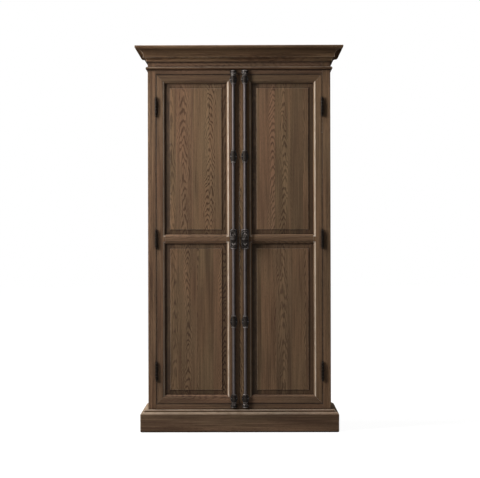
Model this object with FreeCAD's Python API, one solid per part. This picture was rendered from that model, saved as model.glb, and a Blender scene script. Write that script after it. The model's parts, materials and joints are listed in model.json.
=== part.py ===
# A bar armoire in oak: two tall inset doors with raised panels, each closed by a cremone bolt,
# between a coved crown and a moulded plinth, with bottle bins, a serving counter and a stemware
# rack inside. Millimetres, +Z up, the front faces -Y, and the origin is on the floor under the
# middle of the whole.
import FreeCAD
import Part
import math
import os

V = FreeCAD.Vector

# Carcass
OVERALL_HEIGHT = 2286.0
BODY_WIDTH = 1084.0
BODY_DEPTH = 560.0
SIDE_THICKNESS = 24.0
BOARD_THICKNESS = 22.0
CAP_THICKNESS = 18.0
DADO_DEPTH = 8.0
OVERRUN = 5.0

# Back boards, tongued together and let into a rebate in each side
BACK_BOARD_COUNT = 8
BACK_THICKNESS = 12.0
BACK_REBATE_WIDTH = 12.0
BACK_FIT = 0.5
BACK_SEAM = 1.0
BACK_TONGUE_REACH = 6.0
BACK_TONGUE_THICKNESS = 4.0
BACK_TONGUE_CLEARANCE = 0.3

# Crown, from its foot on the frieze up to the fascia
BED_FOOT_REACH = 10.0
BED_FILLET_HEIGHT = 6.0
BED_COVE_REACH = 12.0
BED_COVE_HEIGHT = 20.0
SOFFIT_REACH = 4.0
COVE_FILLET_HEIGHT = 10.0
COVE_REACH = 36.0
COVE_HEIGHT = 36.0
FASCIA_ROUND_REACH = 12.0
FASCIA_ROUND_HEIGHT = 17.0
FASCIA_LIP_HEIGHT = 4.0
FRIEZE_HEIGHT = 27.0
BEAD_HEIGHT = 20.0
BEAD_FILLET = 2.0

# Plinth, from the floor up to the nosing under the case
PLINTH_REACH = 46.0
PLINTH_BOARD_THICKNESS = 24.0
PLINTH_FACE_HEIGHT = 105.0
PLINTH_OVOLO_REACH = 21.0
PLINTH_OVOLO_HEIGHT = 13.0
PLINTH_STEP_HEIGHT = 7.0
PLINTH_NOSE_REACH = 8.0
PLINTH_NOSE_HEIGHT = 7.0
PLINTH_LEDGE_DEPTH = 22.0
PLINTH_LEDGE_THICKNESS = 24.0
PLINTH_FOOT_CHAMFER = 5.0

# Face frame round the doors
FACE_STILE_WIDTH = 48.0
BOTTOM_REVEAL = 32.0
TOP_REVEAL = 24.5
FACE_TENON_LENGTH = 30.0
FACE_TENON_THICKNESS = 9.0
FACE_TENON_SHOULDER = 7.0
TENON_END_GAP = 1.0

# Doors
DOOR_THICKNESS = 25.0
DOOR_GAP = 2.5
DOOR_STOP_GAP = 1.0
DOOR_STOP_LIP = 8.0
MEETING_GAP = 3.0
HINGE_STILE_WIDTH = 52.0
MEETING_STILE_WIDTH = 74.0
TOP_RAIL_HEIGHT = 52.0
BOTTOM_RAIL_HEIGHT = 52.0
MIDDLE_RAIL_HEIGHT = 56.0
DOOR_TENON_LENGTH = 30.0
DOOR_TENON_SHOULDER = 2.0
GROOVE_SETBACK = 13.0
GROOVE_WIDTH = 7.0
GROOVE_DEPTH = 10.0
STICKING_WIDTH = 13.0
STICKING_STEP = 1.5
STICKING_DEPTH = 9.0
STICKING_FACETS = 5
PANEL_FLOAT = 1.5
PANEL_TONGUE_CLEARANCE = 0.3
PANEL_BEVEL_WIDTH = 28.0
PANEL_FIELD_STEP = 3.0
PANEL_FIELD_SETBACK = 7.0

# Butt hinges, three to a door
HINGE_SPREAD_SHARE = 0.402
HINGE_PLACE_SHARES = (-1.0, 0.0, 1.0)
KNUCKLE_COUNT = 5
KNUCKLE_LENGTH = 20.0
KNUCKLE_GAP = 0.4
HINGE_BARREL_RADIUS = 6.5
HINGE_BARREL_STANDOFF = 0.6
HINGE_PIN_RADIUS = 3.0
HINGE_PIN_CLEARANCE = 0.05
HINGE_LEAF_THICKNESS = 2.0
HINGE_LEAF_REACH = 20.0
HINGE_LEAF_GAP = 0.4
HINGE_LEAF_CLEARANCE = 0.4
HINGE_SCREW_SHARES = (-0.36, 0.0, 0.36)
FINIAL_COLLAR_RADIUS = 5.5
FINIAL_COLLAR_HEIGHT = 2.5
FINIAL_RADIUS = 4.6
FINIAL_SUNK_SHARE = 0.2

# Cremone bolts, one to a door
ROD_INSET = 32.5
ROD_RADIUS = 8.0
ROD_CLEARANCE = 0.3
ROD_BACK_GAP = 1.5
ROD_TIP_SETBACK = 2.0
ROD_TIP_CHAMFER = 2.0
SLEEVE_WALL = 3.2
RING_PROUD = 2.2
RING_HEIGHT = 7.0
PLATE_THICKNESS = 3.0
PLATE_END_HALF_WIDTH = 12.0
PLATE_SCREW_OFFSET = 16.5
PLATE_SCREW_MARGIN = 1.6
GUIDE_SPREAD_SHARE = 0.251
MID_GUIDE_LENGTH = 74.0
END_GUIDE_LENGTH = 55.0
KEEPER_LENGTH = 22.0
KEEPER_GAP = 1.0
GUIDE_EDGE_GAP = 1.5

# Rack and pinion inside each bolt case
GEAR_MODULE = 1.5
PINION_TEETH = 12
PRESSURE_ANGLE_DEG = 20.0
PINION_ADDENDUM = 1.3
PINION_DEDENDUM = 1.4
PINION_FLANK_STEPS = 3
RACK_ADDENDUM = 1.0
RACK_DEDENDUM = 1.7
RACK_TEETH_BACK = 5
RACK_TEETH_AHEAD = 2
RACK_END_MARGIN = 1.0
RACK_BODY = 4.5
RACK_THICKNESS = 7.0
GEAR_BACKLASH = 0.3
KNOB_TURN_DEG = 90.0
BRIDGE_GAP = 2.5
BRIDGE_RACK_GAP = 1.5
JOURNAL_RADIUS = 4.0
JOURNAL_LENGTH = 7.0
JOURNAL_CLEARANCE = 0.08
HUB_RADIUS = 5.0
SOCKET_SIDE = 6.0
SOCKET_DEPTH = 10.0
SOCKET_CLEARANCE = 0.05

# Bolt case and knob
CASE_WALL = 3.0
CASE_CLEARANCE = 1.0
CASE_CORNER_RADIUS = 9.0
CASE_CHAMFER = 2.4
CASE_SLEEVE_LENGTH = 14.0
ROSE_RADIUS = 13.0
ROSE_THICKNESS = 2.0
KNOB_GAP = 0.3
KNOB_NECK_RADIUS = 6.5
KNOB_NECK_LENGTH = 9.0
KNOB_COLLAR_RADIUS = 9.5
KNOB_COLLAR_THICKNESS = 3.0
KNOB_RADIUS = 16.5
KNOB_HALF_LENGTH = 29.0
KNOB_SUNK = 3.0
KNOB_BUTTON_RADIUS = 4.0

# Screws
SCREW_RADIUS = 1.7
SCREW_HEAD_RADIUS = 3.3
SCREW_HEAD_HEIGHT = 1.8
SCREW_BITE = 12.0
SCREW_CLEARANCE = 0.08
SCREW_SLOT_WIDTH = 0.8
SCREW_SLOT_DEPTH = 0.8
LEAF_HEAD_DEPTH = 1.2

# Inside the case: heights of the boards as shares of the clear height between bottom and top
BOTTLE_SHELF_SHARE = 0.19
COUNTER_SHARE = 0.40
STEMWARE_SHELF_SHARE = 0.705
ADJUSTABLE_SHELF_SHARE = 0.855
COUNTER_THICKNESS = 30.0
SHELF_SETBACK = 16.0
MIRROR_THICKNESS = 5.0
MIRROR_MARGIN = 2.0
DIVIDER_COUNT = 5
DIVIDER_THICKNESS = 16.0
DIVIDER_DADO = 6.0
STEM_RAIL_COUNT = 7
STEM_SLOT_WIDTH = 27.0
STEM_FLANGE_WIDTH = 76.0
STEM_FLANGE_THICKNESS = 8.0
STEM_WEB_WIDTH = 14.0
STEM_WEB_HEIGHT = 24.0
STEM_RAIL_SETBACK = 20.0
SHELF_END_GAP = 1.0
SHELF_BACK_GAP = 3.0
PIN_RADIUS = 3.5
PIN_SEAT = 10.0
PIN_REACH = 12.0
PIN_CLEARANCE = 0.08
PIN_INSET = 60.0
PIN_HOLE_PITCH = 64.0
PIN_HOLES_EACH_WAY = 2

# Levels and planes worked out from the sizes above
QUARTER_SHARE = math.sqrt(0.5)
CROWN_REACH = BED_FOOT_REACH + BED_COVE_REACH + SOFFIT_REACH + COVE_REACH + FASCIA_ROUND_REACH
BED_HEIGHT = BED_FILLET_HEIGHT + BED_COVE_HEIGHT
FASCIA_HEIGHT = FASCIA_ROUND_HEIGHT + FASCIA_LIP_HEIGHT
CROWN_HEIGHT = BED_HEIGHT + COVE_FILLET_HEIGHT + COVE_HEIGHT + FASCIA_HEIGHT
CROWN_BOTTOM = OVERALL_HEIGHT - CROWN_HEIGHT
CASE_TOP = OVERALL_HEIGHT - CAP_THICKNESS
BEAD_TOP = CROWN_BOTTOM - FRIEZE_HEIGHT
OPENING_TOP = BEAD_TOP - BEAD_HEIGHT - TOP_REVEAL
PLINTH_HEIGHT = PLINTH_FACE_HEIGHT + PLINTH_OVOLO_HEIGHT + PLINTH_STEP_HEIGHT + PLINTH_NOSE_HEIGHT
OPENING_BOTTOM = PLINTH_HEIGHT + BOTTOM_REVEAL
HALF_BODY = BODY_WIDTH / 2
HALF_INNER = HALF_BODY - SIDE_THICKNESS
HALF_OPENING = HALF_BODY - FACE_STILE_WIDTH
FACE_THICKNESS = DOOR_THICKNESS + DOOR_STOP_GAP
FRONT_Y = (CROWN_REACH - BODY_DEPTH) / 2
FACE_BACK_Y = FRONT_Y + FACE_THICKNESS
BACK_Y = FRONT_Y + BODY_DEPTH
BACK_BOARD_Y = BACK_Y - BACK_THICKNESS
SHELF_FRONT_Y = FACE_BACK_Y + SHELF_SETBACK
INSIDE_BOTTOM = OPENING_BOTTOM + DOOR_STOP_LIP
INSIDE_TOP = OPENING_TOP - DOOR_STOP_LIP
INSIDE_HEIGHT = INSIDE_TOP - INSIDE_BOTTOM
BOTTLE_SHELF_TOP = INSIDE_BOTTOM + BOTTLE_SHELF_SHARE * INSIDE_HEIGHT
COUNTER_TOP = INSIDE_BOTTOM + COUNTER_SHARE * INSIDE_HEIGHT
STEMWARE_SHELF_TOP = INSIDE_BOTTOM + STEMWARE_SHELF_SHARE * INSIDE_HEIGHT
ADJUSTABLE_SHELF_TOP = INSIDE_BOTTOM + ADJUSTABLE_SHELF_SHARE * INSIDE_HEIGHT

DOOR_BOTTOM = OPENING_BOTTOM + DOOR_GAP
DOOR_TOP = OPENING_TOP - DOOR_GAP
DOOR_MIDDLE_Z = (DOOR_BOTTOM + DOOR_TOP) / 2
DOOR_HEIGHT = DOOR_TOP - DOOR_BOTTOM
DOOR_SPAN_X = (DOOR_GAP - HALF_OPENING, -MEETING_GAP / 2)
DOOR_SPAN_Y = (FRONT_Y, FRONT_Y + DOOR_THICKNESS)
DOOR_SPAN_Z = (DOOR_BOTTOM, DOOR_TOP)
GROOVE_SPAN_Y = (FRONT_Y + GROOVE_SETBACK, FRONT_Y + GROOVE_SETBACK + GROOVE_WIDTH)
SIGHT_X = (DOOR_SPAN_X[0] + HINGE_STILE_WIDTH, DOOR_SPAN_X[1] - MEETING_STILE_WIDTH)
UPPER_SIGHT_Z = (DOOR_MIDDLE_Z + MIDDLE_RAIL_HEIGHT / 2, DOOR_TOP - TOP_RAIL_HEIGHT)
LOWER_SIGHT_Z = (DOOR_BOTTOM + BOTTOM_RAIL_HEIGHT, DOOR_MIDDLE_Z - MIDDLE_RAIL_HEIGHT / 2)

HINGE_LENGTH = KNUCKLE_COUNT * KNUCKLE_LENGTH
HINGE_X = DOOR_GAP / 2 - HALF_OPENING
HINGE_Y = FRONT_Y - HINGE_BARREL_RADIUS - HINGE_BARREL_STANDOFF
LEAF_FACE_X = HINGE_X - HINGE_LEAF_GAP / 2
LEAF_SPAN_X = (LEAF_FACE_X - HINGE_LEAF_THICKNESS, LEAF_FACE_X)
LEAF_SPAN_Y = (HINGE_Y + HINGE_BARREL_RADIUS + HINGE_LEAF_CLEARANCE, FRONT_Y + HINGE_LEAF_REACH)

BOLT_X = -MEETING_GAP / 2 - ROD_INSET
BOLT_Y = FRONT_Y - ROD_BACK_GAP - ROD_RADIUS
BOLT_Z = DOOR_MIDDLE_Z
SLEEVE_BORE = ROD_RADIUS + ROD_CLEARANCE
SLEEVE_RADIUS = SLEEVE_BORE + SLEEVE_WALL
PITCH_RADIUS = GEAR_MODULE * PINION_TEETH / 2
TOOTH_PITCH = math.pi * GEAR_MODULE
BOLT_THROW = PITCH_RADIUS * math.radians(KNOB_TURN_DEG)
RACK_TIP = PITCH_RADIUS - RACK_ADDENDUM
RACK_ROOT = PITCH_RADIUS + RACK_DEDENDUM
RACK_BACK = RACK_ROOT + RACK_BODY
RACK_END = RACK_TEETH_BACK * TOOTH_PITCH + RACK_END_MARGIN
BRIDGE_START = PITCH_RADIUS + PINION_ADDENDUM + BRIDGE_GAP
ROD_START = RACK_END + BRIDGE_GAP
CAVITY_HALF_WIDTH = RACK_BACK + CASE_CLEARANCE
CAVITY_HALF_HEIGHT = ROD_START + BOLT_THROW + CASE_CLEARANCE
CAVITY_FRONT_Y = BOLT_Y - ROD_RADIUS - CASE_CLEARANCE
CASE_FRONT_Y = CAVITY_FRONT_Y - CASE_WALL
CASE_HALF_WIDTH = CAVITY_HALF_WIDTH + CASE_WALL
CASE_HALF_HEIGHT = CAVITY_HALF_HEIGHT + CASE_WALL
ROSE_FRONT_Y = CASE_FRONT_Y - ROSE_THICKNESS
KNOB_BACK_Y = ROSE_FRONT_Y - KNOB_GAP
KNOB_Y = KNOB_BACK_Y - KNOB_NECK_LENGTH - KNOB_RADIUS + KNOB_SUNK
PLATE_HALF_WIDTH = PLATE_SCREW_OFFSET + SCREW_HEAD_RADIUS + PLATE_SCREW_MARGIN


def block(span_x, span_y, span_z):
    """Return the box between the two ends of each of three ranges."""
    low = V(span_x[0], span_y[0], span_z[0])
    return Part.makeBox(span_x[1] - low.x, span_y[1] - low.y, span_z[1] - low.z, low)


def around(middle, size):
    """Return the range of a size centred on a place."""
    return (middle - size / 2, middle + size / 2)


def grown(span, amount):
    """Return a range moved outward at both ends."""
    return (span[0] - amount, span[1] + amount)


def single(shape):
    """Return the one solid that a shape holds."""
    solids = shape.removeSplitter().Solids
    if len(solids) != 1:
        raise ValueError(f"expected one solid, found {len(solids)}")
    return solids[0]


def mirrored(shape):
    """Return the right-hand twin of a left-hand shape."""
    return shape.mirror(V(0, 0, 0), V(1, 0, 0))


def both_hands(shapes):
    """Return left-hand shapes and their right-hand twins as one group."""
    return Part.makeCompound(list(shapes) + [mirrored(shape) for shape in shapes])


def upright(radius, x, y, span_z):
    """Return an upright cylinder."""
    return Part.makeCylinder(radius, span_z[1] - span_z[0], V(x, y, span_z[0]), V(0, 0, 1))


def inward(radius, x, z, span_y):
    """Return a cylinder that runs from front to back."""
    return Part.makeCylinder(radius, span_y[1] - span_y[0], V(x, span_y[0], z), V(0, 1, 0))


def sideways(radius, y, z, span_x):
    """Return a cylinder that runs from left to right."""
    return Part.makeCylinder(radius, span_x[1] - span_x[0], V(span_x[0], y, z), V(1, 0, 0))


def drawn_face(place, steps):
    """Return the face inside an outline. A step of one point is a straight line to it, and a step
    of two points is an arc through the first to the second. The first step closes the outline."""
    here = steps[0][-1]
    edges = []
    for step in steps[1:] + steps[:1]:
        points = [place(*point) for point in (here, *step)]
        curve = Part.Arc(*points) if len(step) > 1 else Part.LineSegment(*points)
        edges.append(curve.toShape())
        here = step[-1]
    return Part.Face(Part.Wire(edges))


def quarter(start, end):
    """Return the arc step that leaves start upright and reaches end level."""
    out = end[0] + (start[0] - end[0]) * QUARTER_SHARE
    up = start[1] + (end[1] - start[1]) * QUARTER_SHARE
    return ((out, up), end)


def plan_prism(corners):
    """Return a prism on a plan outline, as tall as the whole piece."""
    wire = Part.makePolygon([V(x, y, 0) for x, y in corners + corners[:1]])
    return Part.Face(wire).extrude(V(0, 0, OVERALL_HEIGHT))


def mitred_runs(steps, reach, depth):
    """Return the front, left and right lengths of a moulding that goes round the body.

    steps: the outline, as (out from the body, up from the floor)
    reach, depth: how far the outline stands out from the body and goes in behind its face
    """
    outer = HALF_BODY + reach
    inner = HALF_BODY - depth
    outer_y = FRONT_Y - reach
    inner_y = FRONT_Y + depth
    front_plan = [(-outer, outer_y), (outer, outer_y), (inner, inner_y), (-inner, inner_y)]
    left_plan = [(-outer, outer_y), (-inner, inner_y), (-inner, BACK_Y), (-outer, BACK_Y)]
    front_face = drawn_face(lambda out, up: V(-outer, FRONT_Y - out, up), steps)
    front = front_face.extrude(V(2 * outer, 0, 0)).common(plan_prism(front_plan))
    left_face = drawn_face(lambda out, up: V(-HALF_BODY - out, outer_y, up), steps)
    left = left_face.extrude(V(0, BACK_Y - outer_y, 0)).common(plan_prism(left_plan))
    return single(front), single(left), mirrored(single(left))


def crown():
    """Return the crown's three mouldings and the cap board inside them."""
    bed_start = (BED_FOOT_REACH, CROWN_BOTTOM + BED_FILLET_HEIGHT)
    bed_end = (BED_FOOT_REACH + BED_COVE_REACH, bed_start[1] + BED_COVE_HEIGHT)
    cove_foot = (bed_end[0] + SOFFIT_REACH, bed_end[1])
    cove_start = (cove_foot[0], cove_foot[1] + COVE_FILLET_HEIGHT)
    cove_end = (cove_start[0] + COVE_REACH, cove_start[1] + COVE_HEIGHT)
    round_top = (CROWN_REACH, OVERALL_HEIGHT - FASCIA_LIP_HEIGHT)
    steps = [
        ((0, CROWN_BOTTOM),),
        ((BED_FOOT_REACH, CROWN_BOTTOM),),
        (bed_start,),
        quarter(bed_start, bed_end),
        (cove_foot,),
        (cove_start,),
        quarter(cove_start, cove_end),
        (quarter(round_top, cove_end)[0], round_top),
        ((CROWN_REACH, OVERALL_HEIGHT),),
        ((0, OVERALL_HEIGHT),),
    ]
    front, left, right = mitred_runs(steps, CROWN_REACH, 0)
    cap = block((-HALF_BODY, HALF_BODY), (FRONT_Y, BACK_Y), (CASE_TOP, OVERALL_HEIGHT))
    return {
        "crown_front": front,
        "crown_left_return": left,
        "crown_right_return": right,
        "crown_cap_board": cap,
    }


def neck_bead():
    """Return the half-round bead below the frieze, in three mitred lengths."""
    radius = BEAD_HEIGHT / 2
    bottom = BEAD_TOP - BEAD_HEIGHT
    reach = BEAD_FILLET + radius
    steps = [
        ((0, bottom),),
        ((BEAD_FILLET, bottom),),
        ((reach, bottom + radius), (BEAD_FILLET, BEAD_TOP)),
        ((0, BEAD_TOP),),
    ]
    return {"neck_bead": Part.makeCompound(mitred_runs(steps, reach, 0))}


def plinth():
    """Return the plinth's three moulded boards, which carry the case on a ledge, and its back rail."""
    step_reach = PLINTH_REACH - PLINTH_OVOLO_REACH
    face_top = (PLINTH_REACH, PLINTH_FACE_HEIGHT)
    ovolo_end = (step_reach, PLINTH_FACE_HEIGHT + PLINTH_OVOLO_HEIGHT)
    step_top = (step_reach, ovolo_end[1] + PLINTH_STEP_HEIGHT)
    nose_end = (step_reach - PLINTH_NOSE_REACH, PLINTH_HEIGHT)
    inner_face = PLINTH_REACH - PLINTH_BOARD_THICKNESS
    ledge_bottom = PLINTH_HEIGHT - PLINTH_LEDGE_THICKNESS
    steps = [
        ((inner_face, 0),),
        ((PLINTH_REACH - PLINTH_FOOT_CHAMFER, 0),),
        ((PLINTH_REACH, PLINTH_FOOT_CHAMFER),),
        (face_top,),
        quarter(face_top, ovolo_end),
        (step_top,),
        quarter(step_top, nose_end),
        ((-PLINTH_LEDGE_DEPTH, PLINTH_HEIGHT),),
        ((-PLINTH_LEDGE_DEPTH, ledge_bottom),),
        ((inner_face, ledge_bottom),),
    ]
    front, left, right = mitred_runs(steps, PLINTH_REACH, PLINTH_LEDGE_DEPTH)
    half_rail = HALF_BODY + inner_face
    half_clear = HALF_BODY - PLINTH_LEDGE_DEPTH
    rail_y = (BACK_Y - PLINTH_BOARD_THICKNESS, BACK_Y)
    back_rail = block((-half_rail, half_rail), rail_y, (0, ledge_bottom))
    between_ledges = block((-half_clear, half_clear), rail_y, (ledge_bottom, PLINTH_HEIGHT))
    return {
        "plinth_front": front,
        "plinth_left_return": left,
        "plinth_right_return": right,
        "plinth_back_rail": single(back_rail.fuse(between_ledges)),
    }


def face_frame(pilots):
    """Return the frame round the doors. Its rails are tenoned into its stiles.

    pilots: holes for the hinge leaves, their screws and the keepers' screws on the left half
    """
    span_y = (FRONT_Y, FACE_BACK_Y)
    tenon_y = around((FRONT_Y + FACE_BACK_Y) / 2, FACE_TENON_THICKNESS)
    inner = (-HALF_OPENING, HALF_OPENING)
    rails = {}
    mortises = []
    for name, span_z in (
        ("face_top_rail", (OPENING_TOP, CASE_TOP)),
        ("face_bottom_rail", (PLINTH_HEIGHT, OPENING_BOTTOM)),
    ):
        tenon_z = grown(span_z, -FACE_TENON_SHOULDER)
        tenons = block(grown(inner, FACE_TENON_LENGTH), tenon_y, tenon_z)
        mortises.append(block(grown(inner, FACE_TENON_LENGTH + TENON_END_GAP), tenon_y, tenon_z))
        rail = block(inner, span_y, span_z).fuse(tenons)
        rails[name] = single(rail.cut(pilots + [mirrored(pilot) for pilot in pilots]))
    stile = block((-HALF_BODY, -HALF_OPENING), span_y, (PLINTH_HEIGHT, CASE_TOP))
    stile = single(stile.cut(mortises + pilots))
    return {"left_face_stile": stile, "right_face_stile": mirrored(stile), **rails}


def board(span_x, front_y, top, thickness):
    """Return a level board from a front edge to the back boards."""
    return block(span_x, (front_y, BACK_BOARD_Y), (top - thickness, top))


def divider_places():
    """Return the middles of the bottle dividers, evenly spaced across the case."""
    bay = 2 * HALF_INNER / (DIVIDER_COUNT + 1)
    return [bay * (index + 1) - HALF_INNER for index in range(DIVIDER_COUNT)]


def shelf_pins():
    """Return the left-hand pins under the adjustable shelf, and the holes bored for them."""
    pin_z = ADJUSTABLE_SHELF_TOP - BOARD_THICKNESS - PIN_RADIUS - PIN_CLEARANCE
    seat = (-HALF_INNER - PIN_SEAT, PIN_REACH - HALF_INNER)
    pins = []
    holes = []
    for y in (SHELF_FRONT_Y + PIN_INSET, BACK_BOARD_Y - PIN_INSET):
        pins.append(sideways(PIN_RADIUS, y, pin_z, seat))
        for step in range(-PIN_HOLES_EACH_WAY, PIN_HOLES_EACH_WAY + 1):
            z = pin_z + step * PIN_HOLE_PITCH
            holes.append(sideways(PIN_RADIUS + PIN_CLEARANCE, y, z, seat))
    return pins, holes


def stemware_rails():
    """Return the rails that hold glasses by the foot: a web under the shelf and a flange below it."""
    pitch = STEM_FLANGE_WIDTH + STEM_SLOT_WIDTH
    span_y = (SHELF_FRONT_Y + STEM_RAIL_SETBACK, BACK_BOARD_Y - MIRROR_THICKNESS - SHELF_BACK_GAP)
    web_top = STEMWARE_SHELF_TOP - BOARD_THICKNESS
    flange_top = web_top - STEM_WEB_HEIGHT
    strips = []
    for index in range(STEM_RAIL_COUNT):
        x = (index - (STEM_RAIL_COUNT - 1) / 2) * pitch
        strips.append(block(around(x, STEM_WEB_WIDTH), span_y, (flange_top, web_top)))
        flange_z = (flange_top - STEM_FLANGE_THICKNESS, flange_top)
        strips.append(block(around(x, STEM_FLANGE_WIDTH), span_y, flange_z))
    return Part.makeCompound(strips)


def back_boards():
    """Return the upright back boards, each with a tongue in the next one's groove."""
    half_width = HALF_INNER + BACK_REBATE_WIDTH - BACK_FIT
    pitch = 2 * half_width / BACK_BOARD_COUNT
    span_y = (BACK_BOARD_Y, BACK_Y)
    span_z = (PLINTH_HEIGHT, CASE_TOP)
    middle_y = (BACK_BOARD_Y + BACK_Y) / 2
    tongue_y = around(middle_y, BACK_TONGUE_THICKNESS)
    groove_y = grown(tongue_y, BACK_TONGUE_CLEARANCE)
    boards = []
    for index in range(BACK_BOARD_COUNT):
        left = index * pitch - half_width
        right = left + pitch - BACK_SEAM
        shape = block((left, right), span_y, span_z)
        if index > 0:
            groove_x = (left, left - BACK_SEAM + BACK_TONGUE_REACH + BACK_TONGUE_CLEARANCE)
            shape = shape.cut(block(groove_x, groove_y, span_z))
        if index < BACK_BOARD_COUNT - 1:
            shape = shape.fuse(block((right, right + BACK_TONGUE_REACH), tongue_y, span_z))
        boards.append(single(shape))
    return Part.makeCompound(boards)


def carcass():
    """Return the sides, the boards let into them, the back and what stands on the boards."""
    housed = (-HALF_INNER - DADO_DEPTH, HALF_INNER + DADO_DEPTH)
    clear = (-HALF_INNER, HALF_INNER)
    bottom = board(housed, FACE_BACK_Y, INSIDE_BOTTOM, BOARD_THICKNESS)
    top = board(housed, FACE_BACK_Y, INSIDE_TOP + BOARD_THICKNESS, BOARD_THICKNESS)
    bottle_shelf = board(housed, SHELF_FRONT_Y, BOTTLE_SHELF_TOP, BOARD_THICKNESS)
    counter = board(housed, SHELF_FRONT_Y, COUNTER_TOP, COUNTER_THICKNESS)
    stemware_shelf = board(housed, SHELF_FRONT_Y, STEMWARE_SHELF_TOP, BOARD_THICKNESS)
    pins, pin_holes = shelf_pins()
    rebate_x = (-HALF_INNER - BACK_REBATE_WIDTH, -HALF_INNER)
    rebate = block(rebate_x, (BACK_BOARD_Y, BACK_Y), (PLINTH_HEIGHT, CASE_TOP))
    side = block((-HALF_BODY, -HALF_INNER), (FACE_BACK_Y, BACK_Y), (PLINTH_HEIGHT, CASE_TOP))
    side = side.cut([bottom, top, bottle_shelf, counter, stemware_shelf, rebate] + pin_holes)

    bin_z = (BOTTLE_SHELF_TOP - DIVIDER_DADO, COUNTER_TOP - COUNTER_THICKNESS + DIVIDER_DADO)
    dividers = [
        block(around(x, DIVIDER_THICKNESS), (SHELF_FRONT_Y, BACK_BOARD_Y), bin_z)
        for x in divider_places()
    ]
    adjustable_x = grown(clear, -SHELF_END_GAP)
    adjustable_y = (SHELF_FRONT_Y, BACK_BOARD_Y - SHELF_BACK_GAP)
    adjustable_z = (ADJUSTABLE_SHELF_TOP - BOARD_THICKNESS, ADJUSTABLE_SHELF_TOP)
    mirror_z = (COUNTER_TOP, STEMWARE_SHELF_TOP - BOARD_THICKNESS)
    mirror_y = (BACK_BOARD_Y - MIRROR_THICKNESS, BACK_BOARD_Y)
    return {
        "left_side_panel": single(side),
        "right_side_panel": mirrored(single(side)),
        "bottom_board": bottom,
        "top_board": top,
        "bottle_shelf": single(bottle_shelf.cut(dividers)),
        "counter_shelf": single(counter.cut(dividers)),
        "stemware_shelf": stemware_shelf,
        "adjustable_shelf": block(adjustable_x, adjustable_y, adjustable_z),
        "shelf_pins": both_hands(pins),
        "bottle_dividers": Part.makeCompound(dividers),
        "stemware_rails": stemware_rails(),
        "mirror_panel": block(grown(clear, -MIRROR_MARGIN), mirror_y, mirror_z),
        "back_boards": back_boards(),
    }


def sticking_cutter(sight_z):
    """Return what the moulded edge round a panel opening removes from the door's frame."""
    rings = [(FRONT_Y - OVERRUN, STICKING_WIDTH)]
    for facet in range(STICKING_FACETS + 1):
        turn = math.radians(90) * facet / STICKING_FACETS
        depth = STICKING_STEP + STICKING_DEPTH * (1 - math.cos(turn))
        rings.append((FRONT_Y + depth, STICKING_WIDTH * (1 - math.sin(turn))))
    return Part.makeLoft([ring_wire(SIGHT_X, sight_z, y, wider) for y, wider in rings], True, True)


def ring_wire(span_x, span_z, y, wider):
    """Return an upright rectangle at a depth, widened on all four sides."""
    left, right = grown(span_x, wider)
    low, high = grown(span_z, wider)
    corners = [(left, low), (right, low), (right, high), (left, high), (left, low)]
    return Part.makePolygon([V(x, y, z) for x, z in corners])


def raised_panel(sight_z):
    """Return a panel with a thin tongue in the frame's groove, a bevel and a raised field."""
    held = GROOVE_DEPTH - PANEL_FLOAT
    tongue_y = grown(GROOVE_SPAN_Y, -PANEL_TONGUE_CLEARANCE)
    tongue = block(grown(SIGHT_X, held), tongue_y, grown(sight_z, held))
    field_y = FRONT_Y + PANEL_FIELD_SETBACK
    rings = (
        (tongue_y[0], 0),
        (field_y + PANEL_FIELD_STEP, -PANEL_BEVEL_WIDTH),
        (field_y, -PANEL_BEVEL_WIDTH),
    )
    wires = [ring_wire(SIGHT_X, sight_z, y, wider) for y, wider in rings]
    return single(tongue.fuse(Part.makeLoft(wires, True, True)))


def mitred_rail(inner_z, outer_z):
    """Return a door's end rail, mitred from the panel's opening out to the door's edge."""
    outer_x = grown(SIGHT_X, HINGE_STILE_WIDTH)
    corners = [(SIGHT_X[0], inner_z), (SIGHT_X[1], inner_z), (outer_x[1], outer_z), (outer_x[0], outer_z)]
    wire = Part.makePolygon([V(x, FRONT_Y, z) for x, z in corners + corners[:1]])
    return Part.Face(wire).extrude(V(0, DOOR_THICKNESS, 0))


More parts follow.
